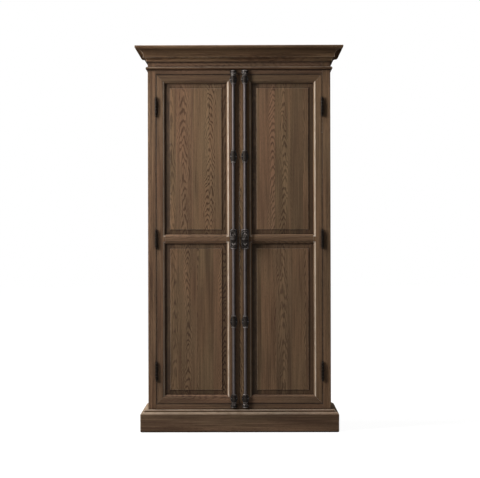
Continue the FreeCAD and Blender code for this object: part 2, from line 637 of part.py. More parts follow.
def door_frame(pilots):
    """Return the left door's stiles, its rails with their tenons, and its two panels.

    pilots: holes for the hinge leaves, the screws and the pinion's journal
    """
    middle_z = (LOWER_SIGHT_Z[1], UPPER_SIGHT_Z[0])
    rails = {
        "top_rail": ((UPPER_SIGHT_Z[1], DOOR_TOP), mitred_rail(UPPER_SIGHT_Z[1], DOOR_TOP)),
        "middle_rail": (middle_z, block(SIGHT_X, DOOR_SPAN_Y, middle_z)),
        "bottom_rail": ((DOOR_BOTTOM, LOWER_SIGHT_Z[0]), mitred_rail(LOWER_SIGHT_Z[0], DOOR_BOTTOM)),
    }
    members = {}
    mortises = []
    for name, (span_z, body) in rails.items():
        tenon_z = grown(span_z, -GROOVE_DEPTH - DOOR_TENON_SHOULDER)
        tenons = block(grown(SIGHT_X, DOOR_TENON_LENGTH), GROOVE_SPAN_Y, tenon_z)
        mortise = block(grown(SIGHT_X, DOOR_TENON_LENGTH + TENON_END_GAP), GROOVE_SPAN_Y, tenon_z)
        mortises += [body, mortise]
        members[name] = body.fuse(tenons)
    hinge_x = (DOOR_SPAN_X[0], SIGHT_X[0])
    meeting_x = (SIGHT_X[1], DOOR_SPAN_X[1])
    members["hinge_stile"] = block(hinge_x, DOOR_SPAN_Y, DOOR_SPAN_Z).cut(mortises)
    members["meeting_stile"] = block(meeting_x, DOOR_SPAN_Y, DOOR_SPAN_Z).cut(mortises)
    cutters = list(pilots)
    for sight_z in (UPPER_SIGHT_Z, LOWER_SIGHT_Z):
        cutters.append(block(grown(SIGHT_X, GROOVE_DEPTH), GROOVE_SPAN_Y, grown(sight_z, GROOVE_DEPTH)))
        cutters.append(sticking_cutter(sight_z))
    pieces = {name: single(member.cut(cutters)) for name, member in members.items()}
    pieces["upper_panel"] = raised_panel(UPPER_SIGHT_Z)
    pieces["lower_panel"] = raised_panel(LOWER_SIGHT_Z)
    return pieces


def hinge_leaf(middle_z, first_knuckle):
    """Return the leaf on the frame's side of a hinge, with every second knuckle from the first."""
    span_z = around(middle_z, HINGE_LENGTH)
    pieces = []
    for index in range(first_knuckle, KNUCKLE_COUNT, 2):
        low = span_z[0] + index * KNUCKLE_LENGTH
        knuckle_z = grown((low, low + KNUCKLE_LENGTH), -KNUCKLE_GAP / 2)
        pieces.append(upright(HINGE_BARREL_RADIUS, HINGE_X, HINGE_Y, knuckle_z))
        pieces.append(block(LEAF_SPAN_X, (HINGE_Y, LEAF_SPAN_Y[0]), knuckle_z))
    bore = upright(HINGE_PIN_RADIUS + HINGE_PIN_CLEARANCE, HINGE_X, HINGE_Y, grown(span_z, OVERRUN))
    holes = [leaf_screw(middle_z, share, SCREW_CLEARANCE) for share in HINGE_SCREW_SHARES]
    return single(block(LEAF_SPAN_X, LEAF_SPAN_Y, span_z).fuse(pieces).cut([bore] + holes))


def leaf_screw(middle_z, share, clearance):
    """Return a flush screw in a leaf on the frame's side, or its hole if a clearance is given."""
    y = (FRONT_Y + LEAF_SPAN_Y[1]) / 2
    z = middle_z + share * HINGE_LENGTH
    head_x = (LEAF_FACE_X - LEAF_HEAD_DEPTH - clearance, LEAF_FACE_X)
    shank_x = (LEAF_SPAN_X[0] - SCREW_BITE - clearance, head_x[0])
    head = sideways(SCREW_HEAD_RADIUS + clearance, y, z, head_x)
    return single(head.fuse(sideways(SCREW_RADIUS + clearance, y, z, shank_x)))


def hinge_pin(middle_z):
    """Return a hinge pin with a collar and a ball at each end."""
    span_z = around(middle_z, HINGE_LENGTH)
    pin = upright(HINGE_PIN_RADIUS, HINGE_X, HINGE_Y, span_z)
    collar_ends = grown(span_z, FINIAL_COLLAR_HEIGHT)
    ball_rise = FINIAL_RADIUS * (1 - FINIAL_SUNK_SHARE)
    for face_z, collar_z, outward in ((span_z[0], collar_ends[0], -1), (span_z[1], collar_ends[1], 1)):
        collar = upright(FINIAL_COLLAR_RADIUS, HINGE_X, HINGE_Y, sorted((face_z, collar_z)))
        ball = Part.makeSphere(FINIAL_RADIUS, V(HINGE_X, HINGE_Y, collar_z + outward * ball_rise))
        pin = pin.fuse([collar, ball])
    return single(pin)


def across_hinge(shape):
    """Return a frame-side hinge shape turned over to the door's side."""
    return shape.mirror(V(HINGE_X, 0, 0), V(1, 0, 0))


def hinges():
    """Return the left door's leaves, pins, screws and the cuts that let them into the wood."""
    spread = HINGE_SPREAD_SHARE * DOOR_HEIGHT
    middles = [DOOR_MIDDLE_Z + share * spread for share in HINGE_PLACE_SHARES]
    places = [(middle, share) for middle in middles for share in HINGE_SCREW_SHARES]
    screws = [leaf_screw(middle, share, 0) for middle, share in places]
    recesses = [leaf_screw(middle, share, SCREW_CLEARANCE) for middle, share in places]
    for middle in middles:
        recesses.append(block(LEAF_SPAN_X, LEAF_SPAN_Y, around(middle, HINGE_LENGTH)))
    return {
        "frame_leaves": [hinge_leaf(middle, 0) for middle in middles],
        "door_leaves": [across_hinge(hinge_leaf(middle, 1)) for middle in middles],
        "pins": [hinge_pin(middle) for middle in middles],
        "frame_screws": screws,
        "door_screws": [across_hinge(screw) for screw in screws],
        "frame_recesses": recesses,
        "door_recesses": [across_hinge(recess) for recess in recesses],
    }


def turned_sleeve(span_z):
    """Return a tube round the rod's line with a half-round ring at each end, flat on the door."""
    low, high = span_z
    ring = SLEEVE_RADIUS + RING_PROUD
    steps = [
        ((0, low),),
        ((SLEEVE_RADIUS, low),),
        ((ring, low + RING_HEIGHT / 2), (SLEEVE_RADIUS, low + RING_HEIGHT)),
        ((SLEEVE_RADIUS, high - RING_HEIGHT),),
        ((ring, high - RING_HEIGHT / 2), (SLEEVE_RADIUS, high)),
        ((0, high),),
    ]
    face = drawn_face(lambda out, up: V(BOLT_X + out, BOLT_Y, up), steps)
    sleeve = face.revolve(V(BOLT_X, BOLT_Y, 0), V(0, 0, 1), 360)
    return sleeve.common(block(around(BOLT_X, 4 * ring), (BOLT_Y - 2 * ring, FRONT_Y), span_z))


def plate_screw(x, z, clearance):
    """Return a screw through a bolt's plate into the wood, or its hole if a clearance is given."""
    plate_y = FRONT_Y - PLATE_THICKNESS
    shank = inward(SCREW_RADIUS + clearance, x, z, (plate_y, FRONT_Y + SCREW_BITE + clearance))
    if clearance:
        return shank
    head_y = (plate_y - SCREW_HEAD_HEIGHT, plate_y)
    head = inward(SCREW_HEAD_RADIUS, x, z, head_y)
    slot_y = (head_y[0], head_y[0] + SCREW_SLOT_DEPTH)
    slot = block(around(x, 2 * SCREW_HEAD_RADIUS), slot_y, around(z, SCREW_SLOT_WIDTH))
    return single(head.cut(slot).fuse(shank))


def rod_bore(span_z):
    """Return the bore for a rod."""
    return upright(SLEEVE_BORE, BOLT_X, BOLT_Y, grown(span_z, OVERRUN))


def guide(span_z):
    """Return a guide or keeper: a ringed sleeve on a plate that swells out to take two screws."""
    low, high = span_z
    middle = (low + high) / 2
    steps = [
        ((-PLATE_HALF_WIDTH, middle), (-PLATE_END_HALF_WIDTH, low)),
        ((PLATE_END_HALF_WIDTH, low),),
        ((PLATE_HALF_WIDTH, middle), (PLATE_END_HALF_WIDTH, high)),
        ((-PLATE_END_HALF_WIDTH, high),),
    ]
    face = drawn_face(lambda x, z: V(BOLT_X + x, FRONT_Y - PLATE_THICKNESS, z), steps)
    plate = face.extrude(V(0, PLATE_THICKNESS, 0))
    holes = [plate_screw(x, z, SCREW_CLEARANCE) for x, z in guide_screw_places(span_z)]
    return single(plate.fuse(turned_sleeve(span_z)).cut([rod_bore(span_z)] + holes))


def guide_screw_places(span_z):
    """Return the two screw places of a guide or keeper."""
    middle = (span_z[0] + span_z[1]) / 2
    return [(BOLT_X - PLATE_SCREW_OFFSET, middle), (BOLT_X + PLATE_SCREW_OFFSET, middle)]


def below_knob(span_z):
    """Return a range above the knob turned over to the same distance below it."""
    return (2 * BOLT_Z - span_z[1], 2 * BOLT_Z - span_z[0])


def guide_spans():
    """Return the height ranges of the door's four guides."""
    middle_guide = around(BOLT_Z + GUIDE_SPREAD_SHARE * DOOR_HEIGHT, MID_GUIDE_LENGTH)
    end_top = DOOR_TOP - GUIDE_EDGE_GAP
    upper = [middle_guide, (end_top - END_GUIDE_LENGTH, end_top)]
    return upper + [below_knob(span_z) for span_z in upper]


def keeper_spans():
    """Return the height ranges of the keepers above and below the door."""
    low = OPENING_TOP + KEEPER_GAP
    return [(low, low + KEEPER_LENGTH), below_knob((low, low + KEEPER_LENGTH))]


def case_screw_places():
    """Return the screw places at the bolt case's two ends."""
    rise = CASE_HALF_HEIGHT + CASE_SLEEVE_LENGTH / 2
    return [
        (BOLT_X + across * PLATE_SCREW_OFFSET, BOLT_Z + up * rise)
        for across in (-1, 1)
        for up in (-1, 1)
    ]


def bolt_case():
    """Return the hollow case over the rack and pinion, with a ringed sleeve at each end."""
    span_x = around(BOLT_X, 2 * CASE_HALF_WIDTH)
    span_z = around(BOLT_Z, 2 * CASE_HALF_HEIGHT)
    shell = block(span_x, (CASE_FRONT_Y, FRONT_Y), span_z)
    corners = [edge for edge in shell.Edges if abs(edge.tangentAt(edge.FirstParameter).y) > QUARTER_SHARE]
    shell = shell.makeFillet(CASE_CORNER_RADIUS, corners)
    rim = [edge for edge in shell.Edges if abs(edge.CenterOfMass.y - CASE_FRONT_Y) < CASE_CHAMFER / 2]
    shell = shell.makeChamfer(CASE_CHAMFER, rim)
    sleeve_top = span_z[1] + CASE_SLEEVE_LENGTH
    ears = block(
        around(BOLT_X, 2 * PLATE_HALF_WIDTH),
        (FRONT_Y - PLATE_THICKNESS, FRONT_Y),
        around(BOLT_Z, 2 * (sleeve_top - BOLT_Z)),
    )
    sleeve_span = (span_z[1] - CASE_WALL, sleeve_top)
    rose = inward(ROSE_RADIUS, BOLT_X, BOLT_Z, (ROSE_FRONT_Y, CASE_FRONT_Y))
    shell = shell.fuse([ears, rose, turned_sleeve(sleeve_span), turned_sleeve(below_knob(sleeve_span))])
    cavity = block(
        around(BOLT_X, 2 * CAVITY_HALF_WIDTH),
        (CAVITY_FRONT_Y, FRONT_Y),
        around(BOLT_Z, 2 * CAVITY_HALF_HEIGHT),
    )
    hub_hole = inward(HUB_RADIUS + JOURNAL_CLEARANCE, BOLT_X, BOLT_Z, (ROSE_FRONT_Y, CAVITY_FRONT_Y))
    holes = [plate_screw(x, z, SCREW_CLEARANCE) for x, z in case_screw_places()]
    bore = rod_bore((2 * BOLT_Z - sleeve_top, sleeve_top))
    return single(shell.cut([cavity, hub_hole, bore] + holes))


def rack():
    """Return the toothed bar of the upper rod, on the pinion's right."""
    slope = math.tan(math.radians(PRESSURE_ANGLE_DEG))
    half_thick = (TOOTH_PITCH - GEAR_BACKLASH) / 4
    tip_half = half_thick - RACK_ADDENDUM * slope
    root_half = half_thick + RACK_DEDENDUM * slope
    corners = [(RACK_BACK, BRIDGE_START), (RACK_BACK, -RACK_END), (RACK_ROOT, -RACK_END)]
    for index in range(-RACK_TEETH_BACK, RACK_TEETH_AHEAD):
        middle = (index + 1 / 2) * TOOTH_PITCH
        corners += [(RACK_ROOT, middle - root_half), (RACK_TIP, middle - tip_half)]
        corners += [(RACK_TIP, middle + tip_half), (RACK_ROOT, middle + root_half)]
    corners += [(RACK_ROOT, BRIDGE_START), (RACK_BACK, BRIDGE_START)]
    return gear_prism(corners)


def gear_prism(corners):
    """Return a prism across the gears' thickness on a closed outline about the pinion's middle."""
    front_y = BOLT_Y - RACK_THICKNESS / 2
    wire = Part.makePolygon([V(BOLT_X + x, front_y, BOLT_Z + z) for x, z in corners])
    return Part.Face(wire).extrude(V(0, RACK_THICKNESS, 0))


def upper_rod():
    """Return the upper rod, drawn in, with a bridge over to its rack."""
    bridge = block(
        (BOLT_X - RACK_TIP + BRIDGE_RACK_GAP, BOLT_X + RACK_BACK),
        around(BOLT_Y, RACK_THICKNESS),
        (BOLT_Z + BRIDGE_START, BOLT_Z + ROD_START),
    )
    tip_z = DOOR_TOP - ROD_TIP_SETBACK
    shoulder_z = tip_z - ROD_TIP_CHAMFER
    shaft = upright(ROD_RADIUS, BOLT_X, BOLT_Y, (BOLT_Z + ROD_START, shoulder_z))
    tip_radius = ROD_RADIUS - ROD_TIP_CHAMFER
    tip = Part.makeCone(ROD_RADIUS, tip_radius, ROD_TIP_CHAMFER, V(BOLT_X, BOLT_Y, shoulder_z))
    return single(rack().fuse([bridge, shaft, tip]))


def pinion():
    """Return the pinion with its hub, its journal in the door and a square socket for the knob."""
    pressure = math.radians(PRESSURE_ANGLE_DEG)
    base = PITCH_RADIUS * math.cos(pressure)
    outer = PITCH_RADIUS + PINION_ADDENDUM
    half_pitch = (TOOTH_PITCH - GEAR_BACKLASH) / (4 * PITCH_RADIUS)
    at_base = half_pitch + math.tan(pressure) - pressure
    flank = [(PITCH_RADIUS - PINION_DEDENDUM, at_base)]
    for step in range(PINION_FLANK_STEPS + 1):
        radius = base + (outer - base) * step / PINION_FLANK_STEPS
        lean = math.acos(base / radius)
        flank.append((radius, at_base - math.tan(lean) + lean))
    corners = []
    for tooth in range(PINION_TEETH):
        middle = 2 * math.pi * tooth / PINION_TEETH
        side = [(radius, middle - half) for radius, half in flank]
        side += [(radius, middle + half) for radius, half in reversed(flank)]
        corners += [(radius * math.cos(turn), radius * math.sin(turn)) for radius, turn in side]
    gear = gear_prism(corners + corners[:1])
    hub = inward(HUB_RADIUS, BOLT_X, BOLT_Z, (ROSE_FRONT_Y, BOLT_Y))
    journal = inward(JOURNAL_RADIUS, BOLT_X, BOLT_Z, (BOLT_Y, FRONT_Y + JOURNAL_LENGTH))
    socket = shank_block(SOCKET_SIDE + 2 * SOCKET_CLEARANCE, SOCKET_DEPTH + SOCKET_CLEARANCE)
    return single(gear.fuse([hub, journal]).cut(socket))


def shank_block(side, depth):
    """Return a square block that runs from the knob into the hub."""
    span_y = (KNOB_BACK_Y, ROSE_FRONT_Y + depth)
    return block(around(BOLT_X, side), span_y, around(BOLT_Z, side))


def knob():
    """Return the olive knob with a button at each end, a collared neck and a square shank."""
    middle = V(BOLT_X, KNOB_Y, BOLT_Z)
    top = middle + V(0, 0, KNOB_HALF_LENGTH)
    bottom = middle - V(0, 0, KNOB_HALF_LENGTH)
    ellipse = Part.Ellipse(top, middle + V(KNOB_RADIUS, 0, 0), middle)
    edges = [Part.ArcOfEllipse(ellipse, 0, math.pi).toShape(), Part.LineSegment(bottom, top).toShape()]
    olive = Part.Face(Part.Wire(edges)).revolve(middle, V(0, 0, 1), 360)
    buttons = [Part.makeSphere(KNOB_BUTTON_RADIUS, end) for end in (top, bottom)]
    neck = inward(KNOB_NECK_RADIUS, BOLT_X, BOLT_Z, (KNOB_Y, KNOB_BACK_Y))
    collar_y = (KNOB_BACK_Y - KNOB_COLLAR_THICKNESS, KNOB_BACK_Y)
    collar = inward(KNOB_COLLAR_RADIUS, BOLT_X, BOLT_Z, collar_y)
    shank = shank_block(SOCKET_SIDE, SOCKET_DEPTH)
    return single(olive.fuse(buttons + [neck, collar, shank]))


def left_door(hinge_set):
    """Return the left door's pieces and those of its bolt."""
    places = [place for span_z in guide_spans() for place in guide_screw_places(span_z)]
    places += case_screw_places()
    journal_y = (FRONT_Y, FRONT_Y + JOURNAL_LENGTH + JOURNAL_CLEARANCE)
    pilots = [inward(JOURNAL_RADIUS + JOURNAL_CLEARANCE, BOLT_X, BOLT_Z, journal_y)]
    pilots += [plate_screw(x, z, SCREW_CLEARANCE) for x, z in places]
    rod = upper_rod()
    screws = hinge_set["door_screws"] + [plate_screw(x, z, 0) for x, z in places]
    return {
        **door_frame(hinge_set["door_recesses"] + pilots),
        "hinge_leaves": Part.makeCompound(hinge_set["door_leaves"]),
        "bolt_guides": Part.makeCompound([guide(span_z) for span_z in guide_spans()]),
        "bolt_case": bolt_case(),
        "door_screws": Part.makeCompound(screws),
        "knob": knob(),
        "pinion": pinion(),
        "upper_rod": rod,
        "lower_rod": rod.rotated(V(BOLT_X, BOLT_Y, BOLT_Z), V(0, 1, 0), 180),
    }


def nodes():
    """Return every node's shape by name."""
    hinge_set = hinges()
    places = [place for span_z in keeper_spans() for place in guide_screw_places(span_z)]
    pilots = [plate_screw(x, z, SCREW_CLEARANCE) for x, z in places]
    screws = hinge_set["frame_screws"] + [plate_screw(x, z, 0) for x, z in places]
    shapes = {
        **crown(),
        **neck_bead(),
        **plinth(),
        **face_frame(hinge_set["frame_recesses"] + pilots),
        **carcass(),
        "hinge_frame_leaves": both_hands(hinge_set["frame_leaves"]),
        "hinge_pins": both_hands(hinge_set["pins"]),
        "bolt_keepers": both_hands([guide(span_z) for span_z in keeper_spans()]),
        "case_screws": both_hands(screws),
    }
    for name, shape in left_door(hinge_set).items():
        shapes[f"left_{name}"] = shape
        shapes[f"right_{name}"] = mirrored(shape)
    return shapes


def main():
    """Write one file for each node."""
    os.makedirs("parts", exist_ok=True)
    for name, shape in nodes().items():
        shape.exportStep(os.path.join("parts", f"{name}.step"))


if __name__ == "__main__":
    main()
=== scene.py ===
"""Looks of the bar armoire: brown oak, cast iron bolts and hinges, a mirror, and a pale studio round it."""
import json
import logging
import math
from dataclasses import dataclass, field, replace
from enum import Enum
from typing import Any, Iterable, Mapping, Sequence, Union

import bmesh
import bpy
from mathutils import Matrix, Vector


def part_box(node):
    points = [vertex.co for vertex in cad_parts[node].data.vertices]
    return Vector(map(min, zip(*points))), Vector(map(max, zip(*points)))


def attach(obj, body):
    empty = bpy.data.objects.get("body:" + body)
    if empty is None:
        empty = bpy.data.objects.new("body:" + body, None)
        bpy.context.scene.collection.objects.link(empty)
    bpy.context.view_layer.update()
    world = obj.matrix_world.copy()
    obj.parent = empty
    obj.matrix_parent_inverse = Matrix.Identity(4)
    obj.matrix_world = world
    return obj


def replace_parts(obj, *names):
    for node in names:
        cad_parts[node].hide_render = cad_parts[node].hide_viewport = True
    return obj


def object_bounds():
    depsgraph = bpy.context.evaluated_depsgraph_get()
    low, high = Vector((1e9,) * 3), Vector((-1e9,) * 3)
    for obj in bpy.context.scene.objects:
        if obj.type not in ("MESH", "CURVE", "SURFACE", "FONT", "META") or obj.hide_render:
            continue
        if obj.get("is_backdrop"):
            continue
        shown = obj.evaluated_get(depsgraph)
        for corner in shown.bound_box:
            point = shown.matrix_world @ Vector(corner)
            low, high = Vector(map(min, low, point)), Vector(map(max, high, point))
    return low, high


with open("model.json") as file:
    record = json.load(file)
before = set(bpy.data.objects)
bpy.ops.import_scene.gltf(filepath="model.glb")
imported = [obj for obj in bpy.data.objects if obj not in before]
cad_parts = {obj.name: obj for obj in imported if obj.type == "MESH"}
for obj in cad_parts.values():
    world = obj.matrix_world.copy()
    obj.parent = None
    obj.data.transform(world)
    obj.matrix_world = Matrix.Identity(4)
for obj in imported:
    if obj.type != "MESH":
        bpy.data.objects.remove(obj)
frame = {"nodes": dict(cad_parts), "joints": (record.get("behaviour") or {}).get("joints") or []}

CAD_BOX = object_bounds()
LOG = logging.getLogger("bar_armoire")
MM = 0.001
FULL_TURN = 2.0 * math.pi
Colour = tuple[float, float, float]
Place = tuple[float, float, float]
Pair = tuple[float, float]
Socket = bpy.types.NodeSocket
Value = Union[float, Sequence[float], Socket, "Signal"]
Ring = list[Vector]


class Side(Enum):
    """The two doors, named as seen from the front."""

    LEFT = "left"
    RIGHT = "right"

    @property
    def hand(self) -> int:
        """Return -1 for the left door and 1 for the right one."""
        return -1 if self is Side.LEFT else 1


class Edge(Enum):
    """An edge of a board, on its axis across the grain."""

    LOW = 0
    HIGH = 1


class Grain(Enum):
    """How a board lies: the axes across its face, through it, and along its grain."""

    UPRIGHT_FACE = ("X", "Y", "Z")
    UPRIGHT_SIDE = ("Y", "X", "Z")
    LEVEL_FACE = ("Z", "Y", "X")
    LEVEL_BOARD = ("Y", "Z", "X")
    RETURN_FACE = ("Z", "X", "Y")


@dataclass(frozen=True)
class Signal:
    """A value that flows through a node tree, so that a shader's arithmetic reads as sums."""

    graph: "Graph"
    socket: Socket

    def __add__(self, other: Value) -> "Signal":
        """Return the sum of two values."""
        return self.graph.calc("ADD", self, other)

    def __sub__(self, other: Value) -> "Signal":
        """Return the difference of two values."""
        return self.graph.calc("SUBTRACT", self, other)

    def __mul__(self, other: Value) -> "Signal":
        """Return the product of two values."""
        return self.graph.calc("MULTIPLY", self, other)

    def __truediv__(self, other: Value) -> "Signal":
        """Return the quotient of two values."""
        return self.graph.calc("DIVIDE", self, other)


@dataclass
class Graph:
    """A node tree with short calls that add nodes and link them."""

    tree: bpy.types.NodeTree

    def add(self, kind: str, inputs: Mapping[Any, Value] | None = None, **settings: Any) -> bpy.types.Node:
        """Add a node.

        Args:
            kind: the node's type name
            inputs: values or signals, by the input's name or number
            settings: the node's own options

        Returns:
            The new node.
        """
        node = self.tree.nodes.new(kind)
        for key, value in settings.items():
            setattr(node, key, value)
        self.fill(node, inputs or {})
        return node

    def fill(self, node: bpy.types.Node, inputs: Mapping[Any, Value]) -> None:
        """Link or set some of a node's inputs."""
        for key, value in inputs.items():
            self.put(node.inputs[key], value)

    def put(self, socket: Socket, value: Value) -> None:
        """Link a value to an input, or set the input's own value.

        Args:
            socket: the input
            value: a signal or a socket to link, or a number or a row of numbers to set
        """
        if isinstance(value, Signal):
            value = value.socket
        if isinstance(value, Socket):
            self.tree.links.new(value, socket)
        elif isinstance(value, (int, float)):
            socket.default_value = value
        else:
            full = len(socket.default_value)
            socket.default_value = (*value, 1.0)[:full]

    def out(
        self, kind: str, inputs: Mapping[Any, Value] | None = None, output: Any = 0, **settings: Any
    ) -> Signal:
        """Add a node and return one of its outputs, by name or number."""
        return Signal(self, self.add(kind, inputs, **settings).outputs[output])

    def calc(self, operation: str, *values: Value) -> Signal:
        """Return one piece of arithmetic on up to three values."""
        return self.out("ShaderNodeMath", dict(enumerate(values)), operation=operation)

    def span(
        self, value: Value, low: float, high: float, to_low: float = 0.0, to_high: float = 1.0
    ) -> Signal:
        """Return a value eased from one range to another and held at its ends."""
        ends = {"Value": value, "From Min": low, "From Max": high, "To Min": to_low, "To Max": to_high}
        return self.out("ShaderNodeMapRange", ends, interpolation_type="SMOOTHSTEP")

    def mix(self, share: Value, first: Value, second: Value, blend: str = "MIX") -> Signal:
        """Return a colour mixed from two."""
        inputs = {0: share, 6: first, 7: second}
        return self.out("ShaderNodeMix", inputs, 2, data_type="RGBA", blend_type=blend)

    def vector(self, *axes: Value) -> Signal:
        """Return a vector from three values."""
        return self.out("ShaderNodeCombineXYZ", dict(enumerate(axes)))

    def noise(self, place: Value, scale: float, detail: float = 2.0) -> Signal:
        """Return smooth noise at a place, about one half on average."""
        return self.out("ShaderNodeTexNoise", {"Vector": place, "Scale": scale, "Detail": detail})

    def bump(self, height: Value, strength: float, distance: float) -> Signal:
        """Return the normal of a surface that has a small relief."""
        return self.out("ShaderNodeBump", {"Strength": strength, "Distance": distance, "Height": height})

    def place(self) -> Signal:
        """Return the place on the object."""
        return self.out("ShaderNodeTexCoord", output="Object")

    def trait(self, name: str) -> Signal:
        """Return a number that each object carries under a name."""
        return self.out("ShaderNodeAttribute", output="Fac", attribute_type="OBJECT", attribute_name=name)

    def parts(self, kind: str, whole: Value) -> list[Signal]:
        """Return the three parts of a vector or a colour."""
        return [Signal(self, socket) for socket in self.add(kind, {0: whole}).outputs]


FLOAT = "NodeSocketFloat"
COLOUR = "NodeSocketColor"
VECTOR = "NodeSocketVector"
HALF = 0.5


class EffectGroup:
    """A surface effect that several materials share, kept as one shader node group."""

    title = ""
    inputs: tuple[tuple[str, str, Any], ...] = ()
    outputs: tuple[tuple[str, str], ...] = ()

    def wire(self, graph: Graph, given: Mapping[str, Signal]) -> dict[str, Signal]:
        """Lay the group's nodes.

        Args:
            graph: the group's own tree
            given: the group's inputs by name

        Returns:
            What goes to the group's outputs, by name.
        """
        raise NotImplementedError

    def tree(self) -> bpy.types.NodeTree:
        """Build the group's tree the first time it is asked for.

        Returns:
            The tree.
        """
        made = bpy.data.node_groups.get(self.title)
        if made is not None:
            return made
        made = bpy.data.node_groups.new(self.title, "ShaderNodeTree")
        for name, kind, value in self.inputs:
            socket = made.interface.new_socket(name, in_out="INPUT", socket_type=kind)
            if value is not None:
                socket.default_value = value
        for name, kind in self.outputs:
            made.interface.new_socket(name, in_out="OUTPUT", socket_type=kind)
        graph = Graph(made)
        entry = graph.add("NodeGroupInput")
        results = self.wire(graph, {name: Signal(graph, entry.outputs[name]) for name, _, _ in self.inputs})
        graph.add("NodeGroupOutput", {name: results[name] for name, _ in self.outputs})
        return made

    def place(self, graph: Graph, inputs: Mapping[str, Value]) -> dict[str, Signal]:
        """Put the group into a material's tree and return its outputs by name."""
        node = graph.add("ShaderNodeGroup", inputs, node_tree=self.tree())
        return {name: Signal(graph, node.outputs[name]) for name, _ in self.outputs}


class GluedBoards(EffectGroup):
    """Parts a wide face into the boards that it is glued up from."""

    title = "glued_boards"
    inputs = (("Across", FLOAT, 0.0), ("Board Width", FLOAT, 0.08), ("Seed", FLOAT, 0.0))
    outputs = (("Across", FLOAT), ("Board", COLOUR), ("Joint", FLOAT))
    seed_step = 17.3
    unevenness = 0.6
    joint_share = 0.014

    def wire(self, graph: Graph, given: Mapping[str, Signal]) -> dict[str, Signal]:
        """Lay the nodes: each board is a cell on a line, with its own random colour.

        Args:
            graph: the group's own tree
            given: the group's inputs by name

        Returns:
            The place across the board, the board's colour, and a mask of the glue lines.
        """
        place = given["Seed"] * self.seed_step + given["Across"] / given["Board Width"]
        line = {"W": place, "Scale": 1.0, "Randomness": self.unevenness}
        cell = graph.add("ShaderNodeTexVoronoi", line, voronoi_dimensions="1D").outputs
        edge = graph.out(
            "ShaderNodeTexVoronoi", line, "Distance", voronoi_dimensions="1D", feature="DISTANCE_TO_EDGE"
        )
        return {
            "Across": (place - cell["W"]) * given["Board Width"],
            "Board": Signal(graph, cell["Color"]),
            "Joint": graph.span(edge, 0.0, self.joint_share, 1.0, 0.0),
        }


